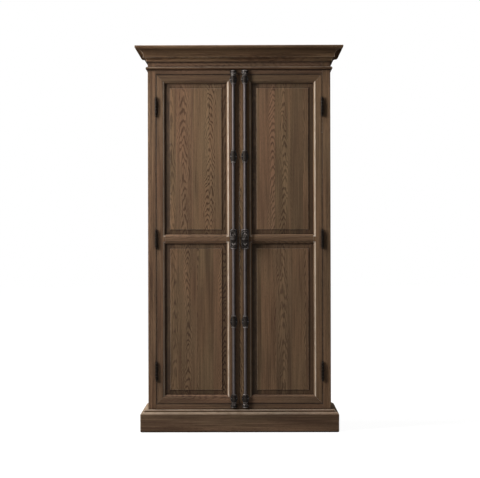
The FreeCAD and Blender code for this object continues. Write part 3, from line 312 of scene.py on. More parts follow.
class OakFigure(EffectGroup):
    """Oak's growth rings, streaks and open pores, drawn from a place on the board."""

    title = "oak_figure"
    inputs = (
        ("Across", FLOAT, 0.0), ("Through", FLOAT, 0.0), ("Along", FLOAT, 0.0), ("Seed", FLOAT, 0.0),
        ("Board", COLOUR, None), ("Pale", COLOUR, None), ("Deep", COLOUR, None), ("Pore", COLOUR, None),
        ("Figure", FLOAT, 0.6),
    )
    outputs = (("Color", COLOUR), ("Roughness", FLOAT), ("Height", FLOAT))
    through_step, along_step, board_step = 3.1, 7.7, 9.0
    # Scales of the clouds, across the grain and along it
    slow_scale: Pair = (7.0, 1.6)
    lively_scale: Pair = (45.0, 9.0)
    streak_scale: Pair = (190.0, 3.2)
    pore_scale: Pair = (1150.0, 38.0)
    patina_scale: Pair = (34.0, 2.0)
    heart_spread, heart_wander = 0.17, 0.06
    bend_spread, bend_least = 1700.0, 1900.0
    rise_spread, rise_least = 24.0, 4.0
    ring_wander = 3.0
    ring_ends: Pair = (-1.0, 0.3)
    pore_ends: Pair = (0.54, 0.66)
    # Rows of four: the range that a value comes from, and the range that it is eased to
    pores_by_ring = (0.15, 0.7, 1.0, 0.35)
    roughness_by_streak = (0.3, 1.1, 0.66, 0.88)
    pore_roughness = 0.4
    ring_height, streak_height = 0.25, 0.35
    figure_spread, figure_least = 0.9, 0.35
    ring_level = 0.6
    streak_lift, patina_lift, board_lift = 1.45, 1.5, 0.32
    tone_ends: Pair = (-0.15, 1.15)
    board_tints: tuple[Colour, Colour] = ((1.02, 0.985, 0.97), (0.985, 1.005, 0.93))
    flush_ends: Pair = (0.36, 0.64)
    flush_tints: tuple[Colour, Colour] = ((1.045, 0.978, 0.96), (0.98, 0.998, 0.985))
    pore_share = 0.62

    def wire(self, graph: Graph, given: Mapping[str, Signal]) -> dict[str, Signal]:
        """Lay the nodes: stacked arches where the board's heart shows, and straight lines beside it.

        Args:
            graph: the group's own tree
            given: the group's inputs by name

        Returns:
            The oak's colour, its roughness, and the height of its relief.
        """
        across = given["Across"]
        red, green, blue = graph.parts("ShaderNodeSeparateColor", given["Board"])
        deep = given["Seed"] * self.through_step + given["Through"]
        far = red * self.board_step + (given["Seed"] * self.along_step + given["Along"])

        def cloud(scale: Pair, detail: float = 2.0, through: Signal = deep) -> Signal:
            """Return noise that is drawn out along the grain."""
            return graph.noise(graph.vector(across * scale[0], through, far * scale[1]), 1.0, detail)

        slow, lively, patina = cloud(self.slow_scale), cloud(self.lively_scale), cloud(self.patina_scale, 4.0)
        streak = cloud(self.streak_scale, 3.0, deep * self.streak_scale[0])
        open_pores = cloud(self.pore_scale, 1.0, deep * self.pore_scale[0])

        heart = (green - HALF) * self.heart_spread + (slow - HALF) * self.heart_wander
        offset = across - heart
        arch = offset * offset * (blue * self.bend_spread + self.bend_least)
        rise = far * (red * self.rise_spread + self.rise_least)
        phase = arch + rise + (lively * self.ring_wander + slow * self.ring_wander)
        ring = graph.span(graph.calc("SINE", phase * FULL_TURN), *self.ring_ends)
        pores = graph.span(open_pores, *self.pore_ends) * graph.span(ring, *self.pores_by_ring)

        shown = given["Figure"] * (red * self.figure_spread + self.figure_least)
        lift = (streak - HALF) * self.streak_lift + (ring - self.ring_level) * shown
        lift = lift + (patina - HALF) * self.patina_lift + (green - HALF) * self.board_lift
        colour = graph.mix(graph.span(lift + HALF, *self.tone_ends), given["Deep"], given["Pale"])
        colour = graph.mix(1.0, colour, graph.mix(blue, *self.board_tints), "MULTIPLY")
        flush = graph.mix(graph.span(slow, *self.flush_ends), *self.flush_tints)
        colour = graph.mix(1.0, colour, flush, "MULTIPLY")
        return {
            "Color": graph.mix(pores * self.pore_share, colour, given["Pore"]),
            "Roughness": graph.span(pores * self.pore_roughness + streak, *self.roughness_by_streak),
            "Height": ring * self.ring_height + streak * self.streak_height - pores,
        }


class WornEdges(EffectGroup):
    """Rubs a surface pale along its arrises and leaves it dark in its corners; on the oak that dark is
    painted shade as well as grime.
    """

    title = "worn_edges"
    inputs = (
        ("Color", COLOUR, None), ("Worn", COLOUR, None), ("Grime", COLOUR, None),
        ("Edge Width", FLOAT, 0.004), ("Corner Reach", FLOAT, 0.018),
        ("Wear", FLOAT, 0.5), ("Dirt", FLOAT, 0.7), ("Place", VECTOR, None),
    )
    outputs = (("Color", COLOUR), ("Edge", FLOAT))
    patch_scale = 38.0
    edge_ends: Pair = (0.35, 0.95)
    corner_ends: Pair = (0.42, 0.93)
    edge_patches: Pair = (0.3, 0.62)
    corner_patches = (0.1, 0.6, 0.72, 1.0)

    def wire(self, graph: Graph, given: Mapping[str, Signal]) -> dict[str, Signal]:
        """Lay the nodes: an edge is thin behind the surface, and a corner is shut in before it.

        Args:
            graph: the group's own tree
            given: the group's inputs by name

        Returns:
            The worn colour, and a mask of the rubbed edges.
        """
        occlusion = "ShaderNodeAmbientOcclusion"
        thin = graph.out(
            occlusion, {"Distance": given["Edge Width"]}, "AO", inside=True, only_local=True, samples=4
        )
        shut = graph.out(occlusion, {"Distance": given["Corner Reach"]}, "AO", samples=5)
        patches = graph.noise(given["Place"], self.patch_scale, 4.0)
        edge = graph.span(thin, *self.edge_ends, 1.0, 0.0) * graph.span(patches, *self.edge_patches)
        corner = graph.span(shut, *self.corner_ends, 1.0, 0.0) * graph.span(patches, *self.corner_patches)
        # Painted shade: shut-in corners are darkened, on the oak for the shade that falls there as well as
        # grime
        colour = graph.mix(corner * given["Dirt"], given["Color"], given["Grime"])
        return {"Color": graph.mix(edge * given["Wear"], colour, given["Worn"]), "Edge": edge}


class PatchyLayer(EffectGroup):
    """Tints a surface where a mask lies, in patches."""

    common = (("Color", COLOUR, None), ("Tint", COLOUR, None), ("Share", FLOAT, 0.5), ("Place", VECTOR, None))
    outputs = (("Color", COLOUR),)
    patch_scale = 20.0
    patch_ends: Pair = (0.25, 0.65)
    patch_least = 0.7

    def mask(self, graph: Graph, given: Mapping[str, Signal]) -> Signal:
        """Return where the layer lies, from nothing to one."""
        raise NotImplementedError

    def wire(self, graph: Graph, given: Mapping[str, Signal]) -> dict[str, Signal]:
        """Lay the nodes: the mask is broken into patches, and tints by its share.

        Args:
            graph: the group's own tree
            given: the group's inputs by name

        Returns:
            The tinted colour, and how much of the layer lies there.
        """
        cloud = graph.noise(given["Place"], self.patch_scale, 4.0)
        patches = graph.span(cloud, *self.patch_ends, self.patch_least, 1.0)
        cover = self.mask(graph, given) * (patches * given["Share"])
        return {"Color": graph.mix(cover, given["Color"], given["Tint"]), "Cover": cover}


class StickingHighlightAndWear(PatchyLayer):
    """Lightens the outer part of the moulded edge round a panel: a painted highlight of the lamp, partly
    wear; where it lies, the wax coat shows too.
    """

    title = "waxed_moulding"
    inputs = (*PatchyLayer.common, ("Depth", FLOAT, 0.0))
    outputs = (("Color", COLOUR), ("Cover", FLOAT))
    patch_scale = 16.0
    patch_ends = (0.25, 0.6)
    patch_least = 0.6
    nearest, farthest = 0.4 * MM, 2.9 * MM

    def mask(self, graph: Graph, given: Mapping[str, Signal]) -> Signal:
        """Return what lies between two depths below the door's face."""
        past = graph.calc("GREATER_THAN", given["Depth"], self.nearest)
        return past * graph.calc("LESS_THAN", given["Depth"], self.farthest)


class MarginShadowAndGrime(PatchyLayer):
    """Darkens the margin round a raised field: a painted shadow line at the field's foot and painted shadow
    down its left side, with some grime all round.
    """

    title = "sunk_margin"
    inputs = (*PatchyLayer.common, ("Depth", FLOAT, 0.0), ("Beside", FLOAT, 0.0))
    patch_scale = 22.0
    patch_least = 0.75
    field_foot_shadow: Pair = (7.2 * MM, 8.6 * MM)
    margin: Pair = (9.8 * MM, 10.8 * MM)
    left_edge: Pair = (-165.0 * MM, -120.0 * MM)
    left_share, margin_share = 0.95, 0.42

    def mask(self, graph: Graph, given: Mapping[str, Signal]) -> Signal:
        """Paint a shadow line at the foot of the field's edge, and a darker margin that is darkest on its
        left, where the stile's shadow is painted.

        Args:
            graph: the group's own tree
            given: the group's inputs by name

        Returns:
            Where the layer lies, from nothing to one.
        """
        level = graph.span(given["Beside"], *self.left_edge, self.left_share, self.margin_share)
        fall = graph.span(given["Depth"], *self.margin) * (level - 1.0)
        return graph.span(given["Depth"], *self.field_foot_shadow) * (fall + 1.0)


class EdgeShadowAndGrime(PatchyLayer):
    """Darkens a board along one edge, beside a door's gap or where two mouldings meet: a painted shadow line,
    partly grime.
    """

    title = "edge_grime"
    inputs = (*PatchyLayer.common, ("Offset", FLOAT, 0.0))
    fade: Pair = (1.0 * MM, 8.0 * MM)

    def mask(self, graph: Graph, given: Mapping[str, Signal]) -> Signal:
        """Return what lies within a few millimetres of the edge."""
        return graph.span(graph.calc("ABSOLUTE", given["Offset"]), *self.fade, 1.0, 0.0)


class TopLitScuffedLedges(PatchyLayer):
    """Lightens what faces up: painted light from above, with some scuffs where feet, brooms and dusters pass.
    """

    title = "scuffed_ledges"
    inputs = PatchyLayer.common
    patch_scale = 24.0
    patch_least = 0.5
    facing_up: Pair = (0.15, 0.7)

    def mask(self, graph: Graph, given: Mapping[str, Signal]) -> Signal:
        """Return how far a surface looks up."""
        normal = graph.out("ShaderNodeNewGeometry", output="Normal")
        return graph.span(graph.parts("ShaderNodeSeparateXYZ", normal)[2], *self.facing_up)


Laid = tuple[PatchyLayer, dict[str, Value]]


class CastSkin(EffectGroup):
    """The fine pitted skin of cast iron."""

    title = "cast_skin"
    inputs = (("Place", VECTOR, None), ("Size", FLOAT, 0.0016))
    outputs = (("Height", FLOAT), ("Cloud", FLOAT))
    pit_scale = 0.45
    pit_ends: Pair = (0.6, 0.72)
    cloud_scale = 60.0

    def wire(self, graph: Graph, given: Mapping[str, Signal]) -> dict[str, Signal]:
        """Lay the nodes: fine grit, a few pits, and slow clouds of tone.

        Args:
            graph: the group's own tree
            given: the group's inputs by name

        Returns:
            The height of the skin's relief, and the clouds.
        """
        scale = graph.calc("DIVIDE", 1.0, given["Size"])
        grown = graph.out("ShaderNodeVectorMath", {0: given["Place"], "Scale": scale}, operation="SCALE")
        pits = graph.span(graph.noise(grown, self.pit_scale, 1.0), *self.pit_ends)
        return {
            "Height": graph.noise(grown, 1.0, 4.0) - pits,
            "Cloud": graph.noise(given["Place"], self.cloud_scale, 3.0),
        }


@dataclass(frozen=True)
class Finish:
    """A surface of the object, named after the record's material slot."""

    slot: str

    def name(self) -> str:
        """Return the material's name."""
        return self.slot

    def shade(self, graph: Graph, shader: bpy.types.Node) -> None:
        """Lay the nodes that feed the shader.

        Args:
            graph: the material's tree
            shader: its Principled BSDF
        """
        raise NotImplementedError

    def material(self) -> bpy.types.Material:
        """Make the material the first time it is asked for.

        Returns:
            The material.
        """
        made = bpy.data.materials.get(self.name())
        if made is not None and made.get("dressed"):
            return made
        made = bpy.data.materials.new(self.name())
        made["dressed"] = True
        made.use_nodes = True
        self.shade(Graph(made.node_tree), made.node_tree.nodes["Principled BSDF"])
        return made


@dataclass(frozen=True)
class OakFinish(Finish):
    """Weathered brown oak with a wax coat and pale worn arrises; its dark corners are partly painted shade
    and partly grime, and its layers add painted highlights and shadows.
    """

    grain: Grain
    pale: Colour = (0.166, 0.103, 0.061)
    deep: Colour = (0.050, 0.028, 0.016)
    pore: Colour = (0.018, 0.010, 0.006)
    # Pale worn oak, which also paints the highlights on the stickings and the lit ledges
    worn: Colour = (0.45, 0.37, 0.295)
    # Dark tone of the painted shade in corners, margins and shadow lines, and of grime
    grime: Colour = (0.010, 0.005, 0.003)
    board_width: float = 0.0
    joint_dark: float = 0.55
    figure: float = 0.45
    wear: float = 0.55
    dirt: float = 0.92
    corner_reach: float = 0.018
    gloss: float = 0.16
    edge_polish: float = -0.36
    relief: float = 0.5
    relief_depth: float = 0.5 * MM
    wax_coat: float = 0.4
    wax_roughness: float = 0.3
    door_face: float = 0.0
    # Share of the painted highlight and wear on the moulded sticking
    moulded: float = 0.0
    sunk: float = 0.0
    scuffed: float = 0.0
    edge_grime: float = 0.0
    place: str = ""

    def name(self) -> str:
        """Return the material's name, with how its boards lie."""
        highlight_tag = f"moulded_{self.moulded}" if self.moulded else ""
        return "_".join(filter(None, (self.slot, self.grain.name.lower(), self.place, highlight_tag)))

    def board(self, graph: Graph, across: Signal, seed: Signal) -> tuple[Signal, Signal, Signal | None]:
        """Find the board at a place.

        Args:
            graph: the material's tree
            across: the place across the grain
            seed: the number that sets this object's grain apart

        Returns:
            The place across that board, its random colour, and a mask of the glue lines, if it has any.
        """
        if not self.board_width:
            shade = graph.out("ShaderNodeTexWhiteNoise", {"W": seed}, "Color", noise_dimensions="1D")
            return across - graph.trait("grain_middle"), shade, None
        boards = GluedBoards().place(graph, {"Across": across, "Board Width": self.board_width, "Seed": seed})
        return boards["Across"], boards["Board"], boards["Joint"]

    def layers(self, graph: Graph, across: Signal, y: Signal) -> Iterable[Laid]:
        """Choose the layers that lie on the oak: painted highlights and shadows, which are partly wear, grime
        and scuffs.

        Args:
            graph: the material's tree
            across: the place across the grain
            y: the place through the front

        Returns:
            Each layer with its own inputs.
        """
        # Painted highlight on the moulded sticking, partly wear
        if self.moulded:
            yield StickingHighlightAndWear(), {"Tint": self.worn, "Share": self.moulded, "Depth": y - self.door_face}
        # Painted shadow and grime in the margin round the panel's field
        if self.sunk:
            beside = across - graph.trait("grain_middle")
            depth = y - self.door_face
            yield MarginShadowAndGrime(), {"Tint": self.grime, "Share": self.sunk, "Depth": depth, "Beside": beside}
        # Painted shadow line along one edge, partly grime
        if self.edge_grime:
            offset = across - graph.trait("shadow_line_edge")
            yield EdgeShadowAndGrime(), {"Tint": self.grime, "Share": self.edge_grime, "Offset": offset}
        # Painted light on what faces up, partly scuffs
        if self.scuffed:
            yield TopLitScuffedLedges(), {"Tint": self.worn, "Share": self.scuffed}

    def shade(self, graph: Graph, shader: bpy.types.Node) -> None:
        """Lay the oak's nodes from the place on the board to the shader.

        Args:
            graph: the material's tree
            shader: its Principled BSDF
        """
        place = graph.place()
        axes = dict(zip("XYZ", graph.parts("ShaderNodeSeparateXYZ", place)))
        across, through, along = (axes[axis] for axis in self.grain.value)
        seed = graph.trait("grain_seed")
        middle, board, joint = self.board(graph, across, seed)
        figure = OakFigure().place(graph, {
            "Across": middle, "Through": through, "Along": along, "Seed": seed, "Board": board,
            "Pale": self.pale, "Deep": self.deep, "Pore": self.pore, "Figure": self.figure,
        })
        colour = figure["Color"]
        if joint is not None:
            colour = graph.mix(joint * self.joint_dark, colour, self.pore)
        worn = WornEdges().place(graph, {
            "Color": colour, "Worn": self.worn, "Grime": self.grime, "Place": place,
            "Corner Reach": self.corner_reach, "Wear": self.wear, "Dirt": self.dirt,
        })
        colour = worn["Color"]
        for layer, inputs in self.layers(graph, across, axes["Y"]):
            laid = layer.place(graph, {"Color": colour, "Place": place, **inputs})
            colour = laid["Color"]
            if "Cover" in laid:
                coat = {"Coat Weight": laid["Cover"] * self.wax_coat, "Coat Roughness": self.wax_roughness}
                graph.fill(shader, coat)
        graph.fill(shader, {
            "Base Color": colour,
            "Roughness": figure["Roughness"] + worn["Edge"] * self.edge_polish,
            "Normal": graph.bump(figure["Height"], self.relief, self.relief_depth),
            "Specular IOR Level": self.gloss,
        })


@dataclass(frozen=True)
class RubbedFinish(Finish):
    """Metal or glass, rubbed along its edges and dull in its corners."""

    edge_width: float = 1.0 * MM
    corner_reach: float = 4.0 * MM
    wear: float = 0.4
    dirt: float = 0.6

    def rub(self, graph: Graph, place: Signal, colour: Signal, rubbed: Colour, grime: Colour) -> Signal:
        """Rub a surface along its edges and leave it dull in its corners.

        Args:
            graph: the material's tree
            place: the place on the object
            colour: the surface's own colour
            rubbed: the colour of its edges
            grime: the colour of its corners

        Returns:
            The rubbed colour.
        """
        return WornEdges().place(graph, {
            "Color": colour, "Worn": rubbed, "Grime": grime, "Place": place,
            "Edge Width": self.edge_width, "Corner Reach": self.corner_reach,
            "Wear": self.wear, "Dirt": self.dirt,
        })["Color"]


@dataclass(frozen=True)
class IronFinish(RubbedFinish):
    """Dark cast iron, rubbed bright on its high spots."""

    part: str = "cast"
    base: Colour = (0.020, 0.016, 0.014)
    dark: Colour = (0.005, 0.004, 0.003)
    rubbed: Colour = (0.42, 0.38, 0.36)
    sheen: Colour = (0.20, 0.18, 0.17)
    edge_width: float = 1.6 * MM
    wear: float = 0.75
    dirt: float = 0.85
    metallic: float = 0.4
    roughness: float = 0.3
    clouding: float = 0.22
    relief: float = 0.35
    relief_depth: float = 0.3 * MM

    def name(self) -> str:
        """Return the material's name, with the kind of ironwork."""
        return f"{self.slot}_{self.part}"

    def shade(self, graph: Graph, shader: bpy.types.Node) -> None:
        """Lay the iron's nodes: clouded skin, bright edges, dark hollows.

        Args:
            graph: the material's tree
            shader: its Principled BSDF
        """
        place = graph.place()
        skin = CastSkin().place(graph, {"Place": place})
        clouded = graph.mix(skin["Cloud"], self.dark, self.base)
        graph.fill(shader, {
            "Base Color": self.rub(graph, place, clouded, self.rubbed, self.dark),
            "Roughness": skin["Cloud"] * self.clouding + self.roughness,
            "Normal": graph.bump(skin["Height"], self.relief, self.relief_depth),
            "Metallic": self.metallic,
            "Specular Tint": self.sheen,
        })


@dataclass(frozen=True)
class SteelFinish(RubbedFinish):
    """Plain turned steel with fine tool lines."""

    base: Colour = (0.45, 0.44, 0.43)
    dull: Colour = (0.30, 0.29, 0.28)
    rubbed: Colour = (0.7, 0.69, 0.68)
    grime: Colour = (0.06, 0.055, 0.05)
    line_scale: Place = (2600.0, 300.0, 300.0)
    roughness: float = 0.22
    line_roughness: float = 0.2
    relief: float = 0.2
    relief_depth: float = 0.1 * MM

    def shade(self, graph: Graph, shader: bpy.types.Node) -> None:
        """Lay the steel's nodes: fine lines round the turning, and a little grey.

        Args:
            graph: the material's tree
            shader: its Principled BSDF
        """
        place = graph.place()
        drawn = graph.out("ShaderNodeVectorMath", {0: place, 1: self.line_scale}, operation="MULTIPLY")
        lines = graph.noise(drawn, 1.0, 3.0)
        turned = graph.mix(lines, self.dull, self.base)
        graph.fill(shader, {
            "Base Color": self.rub(graph, place, turned, self.rubbed, self.grime),
            "Roughness": lines * self.line_roughness + self.roughness,
            "Normal": graph.bump(lines, self.relief, self.relief_depth),
            "Metallic": 1.0,
        })


@dataclass(frozen=True)
class MirrorFinish(RubbedFinish):
    """Silvered glass, a little clouded with age near its edges."""

    silver: Colour = (0.60, 0.61, 0.60)
    tarnish: Colour = (0.20, 0.17, 0.14)
    speck_scale: float = 90.0
    speck_ends: Pair = (0.66, 0.74)
    cloud_scale: float = 6.0
    cloud_ends: Pair = (0.58, 0.85)
    cloud_share: float = 0.5
    roughness: float = 0.13
    speck_roughness: float = 0.3
    corner_reach: float = 12.0 * MM
    wear: float = 0.1
    dirt: float = 0.7

    def shade(self, graph: Graph, shader: bpy.types.Node) -> None:
        """Lay the mirror's nodes: clear silver with small specks and clouds.

        Args:
            graph: the material's tree
            shader: its Principled BSDF
        """
        place = graph.place()
        specks = graph.span(graph.noise(place, self.speck_scale, 4.0), *self.speck_ends)
        cloud = graph.span(graph.noise(place, self.cloud_scale, 5.0), *self.cloud_ends, 0.0, self.cloud_share)
        aged = graph.mix(graph.calc("MAXIMUM", specks, cloud), self.silver, self.tarnish)
        graph.fill(shader, {
            "Base Color": self.rub(graph, place, aged, self.silver, self.tarnish),
            "Roughness": specks * self.speck_roughness + self.roughness,
            "Metallic": 1.0,
        })


IRON = IronFinish("dark_iron")
ROD_IRON = IronFinish(
    "dark_iron", part="drawn", base=(0.108, 0.092, 0.092), dark=(0.048, 0.041, 0.041),
    sheen=(0.30, 0.27, 0.26), metallic=0.25,
)
HINGE_IRON = IronFinish(
    "dark_iron", part="black", base=(0.009, 0.007, 0.006), dark=(0.004, 0.003, 0.002),
    sheen=(0.10, 0.08, 0.07), wear=0.12,
)
STEEL = SteelFinish("plain_steel")
MIRROR = MirrorFinish("mirror_glass")


def turns(count: int) -> list[float]:
    """Return evenly spaced angles of a whole turn."""
    return [FULL_TURN * index / count for index in range(count)]


def swell(share: float) -> float:
    """Return a half wave: nothing at both ends and one in the middle."""
    return math.sin(math.pi * min(max(share, 0.0), 1.0))


@dataclass
class SkinMaker:
    """Collects the points and faces of one piece, skinned over stacks of rings."""

    points: list[Vector] = field(default_factory=list)
    faces: list[tuple[int, ...]] = field(default_factory=list)
    weld_reach: float = 1e-7
    pole_cap: float = 0.35

    def stack(self, rings: Sequence[Ring], wrapped: bool = False) -> None:
        """Skin a stack of equal rings.

        Args:
            rings: the rings, in order
            wrapped: join the last ring to the first, else close both ends
        """
        start, count = len(self.points), len(rings[0])
        for ring in rings:
            self.points.extend(ring)
        pairs = list(zip(range(len(rings) - 1), range(1, len(rings))))
        if wrapped:
            pairs.append((len(rings) - 1, 0))
        for low, high in pairs:
            for index in range(count):
                after = (index + 1) % count
                row, above = start + low * count, start + high * count
                self.faces.append((row + index, row + after, above + after, above + index))
        if not wrapped:
            last = start + (len(rings) - 1) * count
            self.faces.append(tuple(reversed(range(start, start + count))))
            self.faces.append(tuple(range(last, last + count)))

    def bead(self, middle: Vector, radius: float, around: int = 10, levels: int = 7) -> None:
        """Add a small ball, whose rings stop a little short of its poles.

        Args:
            middle: its middle
            radius: its radius
            around: how many points each ring has
            levels: how many rings it has
        """
        rings = []
        for level in range(levels):
            lean = math.pi * (level + self.pole_cap) / (levels - 1 + 2.0 * self.pole_cap)
            flat, rise = radius * math.sin(lean), -radius * math.cos(lean)
            rings.append([
                middle + Vector((flat * math.cos(turn), flat * math.sin(turn), rise))
                for turn in turns(around)
            ])
        self.stack(rings)

    def build(self, name: str, finish: Finish, body: str, sharp_deg: float = 38.0) -> bpy.types.Object:
        """Make the object, dress it and set it riding.

        Args:
            name: the piece's name
            finish: its surface
            body: the body that it moves with
            sharp_deg: edges sharper than this stay crisp

        Returns:
            The new object.
        """
        mesh = bpy.data.meshes.new(name)
        mesh.from_pydata([tuple(point) for point in self.points], [], self.faces)
        shape = bmesh.new()
        shape.from_mesh(mesh)
        bmesh.ops.remove_doubles(shape, verts=shape.verts, dist=self.weld_reach)
        bmesh.ops.recalc_face_normals(shape, faces=shape.faces)
        shape.to_mesh(mesh)
        shape.free()
        mesh.shade_smooth()
        mesh.set_sharp_from_angle(angle=math.radians(sharp_deg))
        mesh.materials.append(finish.material())
        made = bpy.data.objects.new(name, mesh)
        bpy.context.scene.collection.objects.link(made)
        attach(made, body)
        LOG.info("built %s: %d faces on %s", name, len(mesh.polygons), body)
        return made


def pieces_along(node: str, hand: int, gap: float) -> list[Pair]:
    """Find the height ranges of a node's separate pieces on one side.

    Args:
        node: the CAD node
        hand: -1 for the left half, 1 for the right one
        gap: the least height between two pieces, in metres

    Returns:
        The lowest and highest place of each piece, from the floor up.
    """
    heights = sorted(v.co.z for v in frame["nodes"][node].data.vertices if v.co.x * hand > 0)
    spans, low = [], heights[0]
    for here, after in zip(heights, heights[1:] + [math.inf]):
        if after - here > gap:
            spans.append((low, here))
            low = after
    return spans


def joint_place(name: str) -> Vector:
    """Return where a joint of the frame is."""
    return Vector(next(joint["pos_m"] for joint in frame["joints"] if joint["name"] == name))


def dress_node(node: str, finish: Finish) -> None:
    """Give a CAD node its finish and keep its solid."""
    frame["nodes"][node].material_slots[0].material = finish.material()
    LOG.info("dressed %s with %s", node, finish.name())


# Edges that get a painted shadow line, partly grime: beside the doors' gaps, and along the lower edges of the
# crown's mouldings and bead
LOW_SHADOW_LINES = (
    "right_face_stile", "face_top_rail", "left_hinge_stile", "left_bottom_rail", "right_bottom_rail",
    "crown_front", "crown_left_return", "crown_right_return", "neck_bead",
)
HIGH_SHADOW_LINES = ("left_face_stile", "face_bottom_rail", "right_hinge_stile", "left_top_rail", "right_top_rail")
SHADOW_LINE_EDGES = {**dict.fromkeys(LOW_SHADOW_LINES, Edge.LOW), **dict.fromkeys(HIGH_SHADOW_LINES, Edge.HIGH)}
FAR_AWAY = 9.0


@dataclass
class Woodwork:
    """Boards that keep their CAD solids, with eased edges and oak finishes."""

    name: str
    finishes: dict[str, Finish]
    ease: float = 1.2 * MM
    ease_segments: int = 2
    ease_deg: float = 32.0
    flat_deg: float = 0.4
    weld_reach: float = 0.002 * MM
    first_seed: float = 1.0
    seed_step: float = 0.618

    def dress(self) -> None:
        """Finish every board and ease its edges."""
        LOG.info("dressing the %s", self.name)
        for index, (node, finish) in enumerate(self.finishes.items()):
            dress_node(node, finish)
            board = frame["nodes"][node]
            board["grain_seed"] = self.first_seed + self.seed_step * index
            if isinstance(finish, OakFinish):
                self.mark(board, node, finish)
                self.ease_edges(board)

    def mark(self, board: bpy.types.Object, node: str, finish: OakFinish) -> None:
        """Note a board's middle and the edge that gets its painted shadow line, which its material reads.

        Args:
            board: the board
            node: its CAD node
            finish: its oak
        """
        axis = "XYZ".index(finish.grain.value[0])
        ends = [corner[axis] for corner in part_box(node)]
        board["grain_middle"] = sum(ends) / 2.0
        board["shadow_line_edge"] = ends[SHADOW_LINE_EDGES[node].value] if node in SHADOW_LINE_EDGES else FAR_AWAY

    def ease_edges(self, board: bpy.types.Object) -> None:
        """Round the board's arrises a little, as a plane or sandpaper does.

        Args:
            board: the board
        """
        weld = board.modifiers.new("weld", "WELD")
        weld.merge_threshold = self.weld_reach
        flat = board.modifiers.new("flat", "DECIMATE")
        flat.decimate_type = "DISSOLVE"
        flat.angle_limit = math.radians(self.flat_deg)
        eased = board.modifiers.new("eased", "BEVEL")
        eased.width = self.ease
        eased.segments = self.ease_segments
        eased.limit_method = "ANGLE"
        eased.angle_limit = math.radians(self.ease_deg)
        eased.use_clamp_overlap = False
        board.modifiers.new("normals", "WEIGHTED_NORMAL").keep_sharp = True


@dataclass(frozen=True)
class Sleeve:
    """A cast tube round a rod, with beads on the ring at its end."""

    length: float
    radius: float = 11.5 * MM
    end_ring: float = 7.0 * MM
    bead_lift: float = 0.6 * MM
    levels: int = 56

    def reach(self, rise: float, turn: float) -> float:
        """Return the outer radius at a height above the low end and a turn."""
        raise NotImplementedError


@dataclass(frozen=True)
class GuideSleeve(Sleeve):
    """A guide's sleeve: a ring at each end, and a lobed belly with a waist band between them."""

    ring_limit_share: float = 0.3
    ring_swell: float = 1.3 * MM
    ring_sink: float = 0.4 * MM
    lobes: int = 12
    lobe_height: float = 0.9 * MM
    full_belly: float = 25.0 * MM
    belly_round: float = 0.6
    belly_sink: float = 0.9 * MM
    band_half: float = 2.2 * MM
    band_lift: float = 1.7 * MM
    band_sink: float = 0.3 * MM

    @property
    def ring(self) -> float:
        """Return the height of an end ring, which is less on a short sleeve."""
        return min(self.end_ring, self.length * self.ring_limit_share)

    def reach(self, rise: float, turn: float) -> float:
        """Work out the sleeve's outer radius.

        Args:
            rise: the height above the low end
            turn: the turn round the rod

        Returns:
            The radius.
        """
        end = min(rise, self.length - rise)
        if end <= self.ring:
            return self.radius + self.ring_swell * swell(end / self.ring) - self.ring_sink
        belly = self.length - 2.0 * self.ring
        lobe = 1.0 + (0.5 + 0.5 * math.cos(self.lobes * turn))
        round_share = swell((rise - self.ring) / belly) ** self.belly_round
        flesh = round_share * self.lobe_height * lobe * min(1.0, belly / self.full_belly)
        banded = abs(rise - self.length / 2.0) < self.band_half
        band = (self.radius + self.band_lift if banded else 0.0) - self.band_sink
        return max(self.radius - self.belly_sink + flesh, band)


@dataclass(frozen=True)
class NeckSleeve(Sleeve):
    """A sleeve at an end of the bolt's case: a neck that grows into a ring."""

    levels: int = 20
    downward: bool = False
    ring_swell: float = 1.2 * MM
    neck_sink: float = 0.6 * MM

    def reach(self, rise: float, turn: float) -> float:
        """Work out the sleeve's outer radius.

        Args:
            rise: the height above the low end
            turn: the turn round the rod

        Returns:
            The radius.
        """
        from_end = rise if self.downward else self.length - rise
        if from_end < self.end_ring:
            return self.radius + self.ring_swell * swell(from_end / self.end_ring)
        return self.radius - self.neck_sink


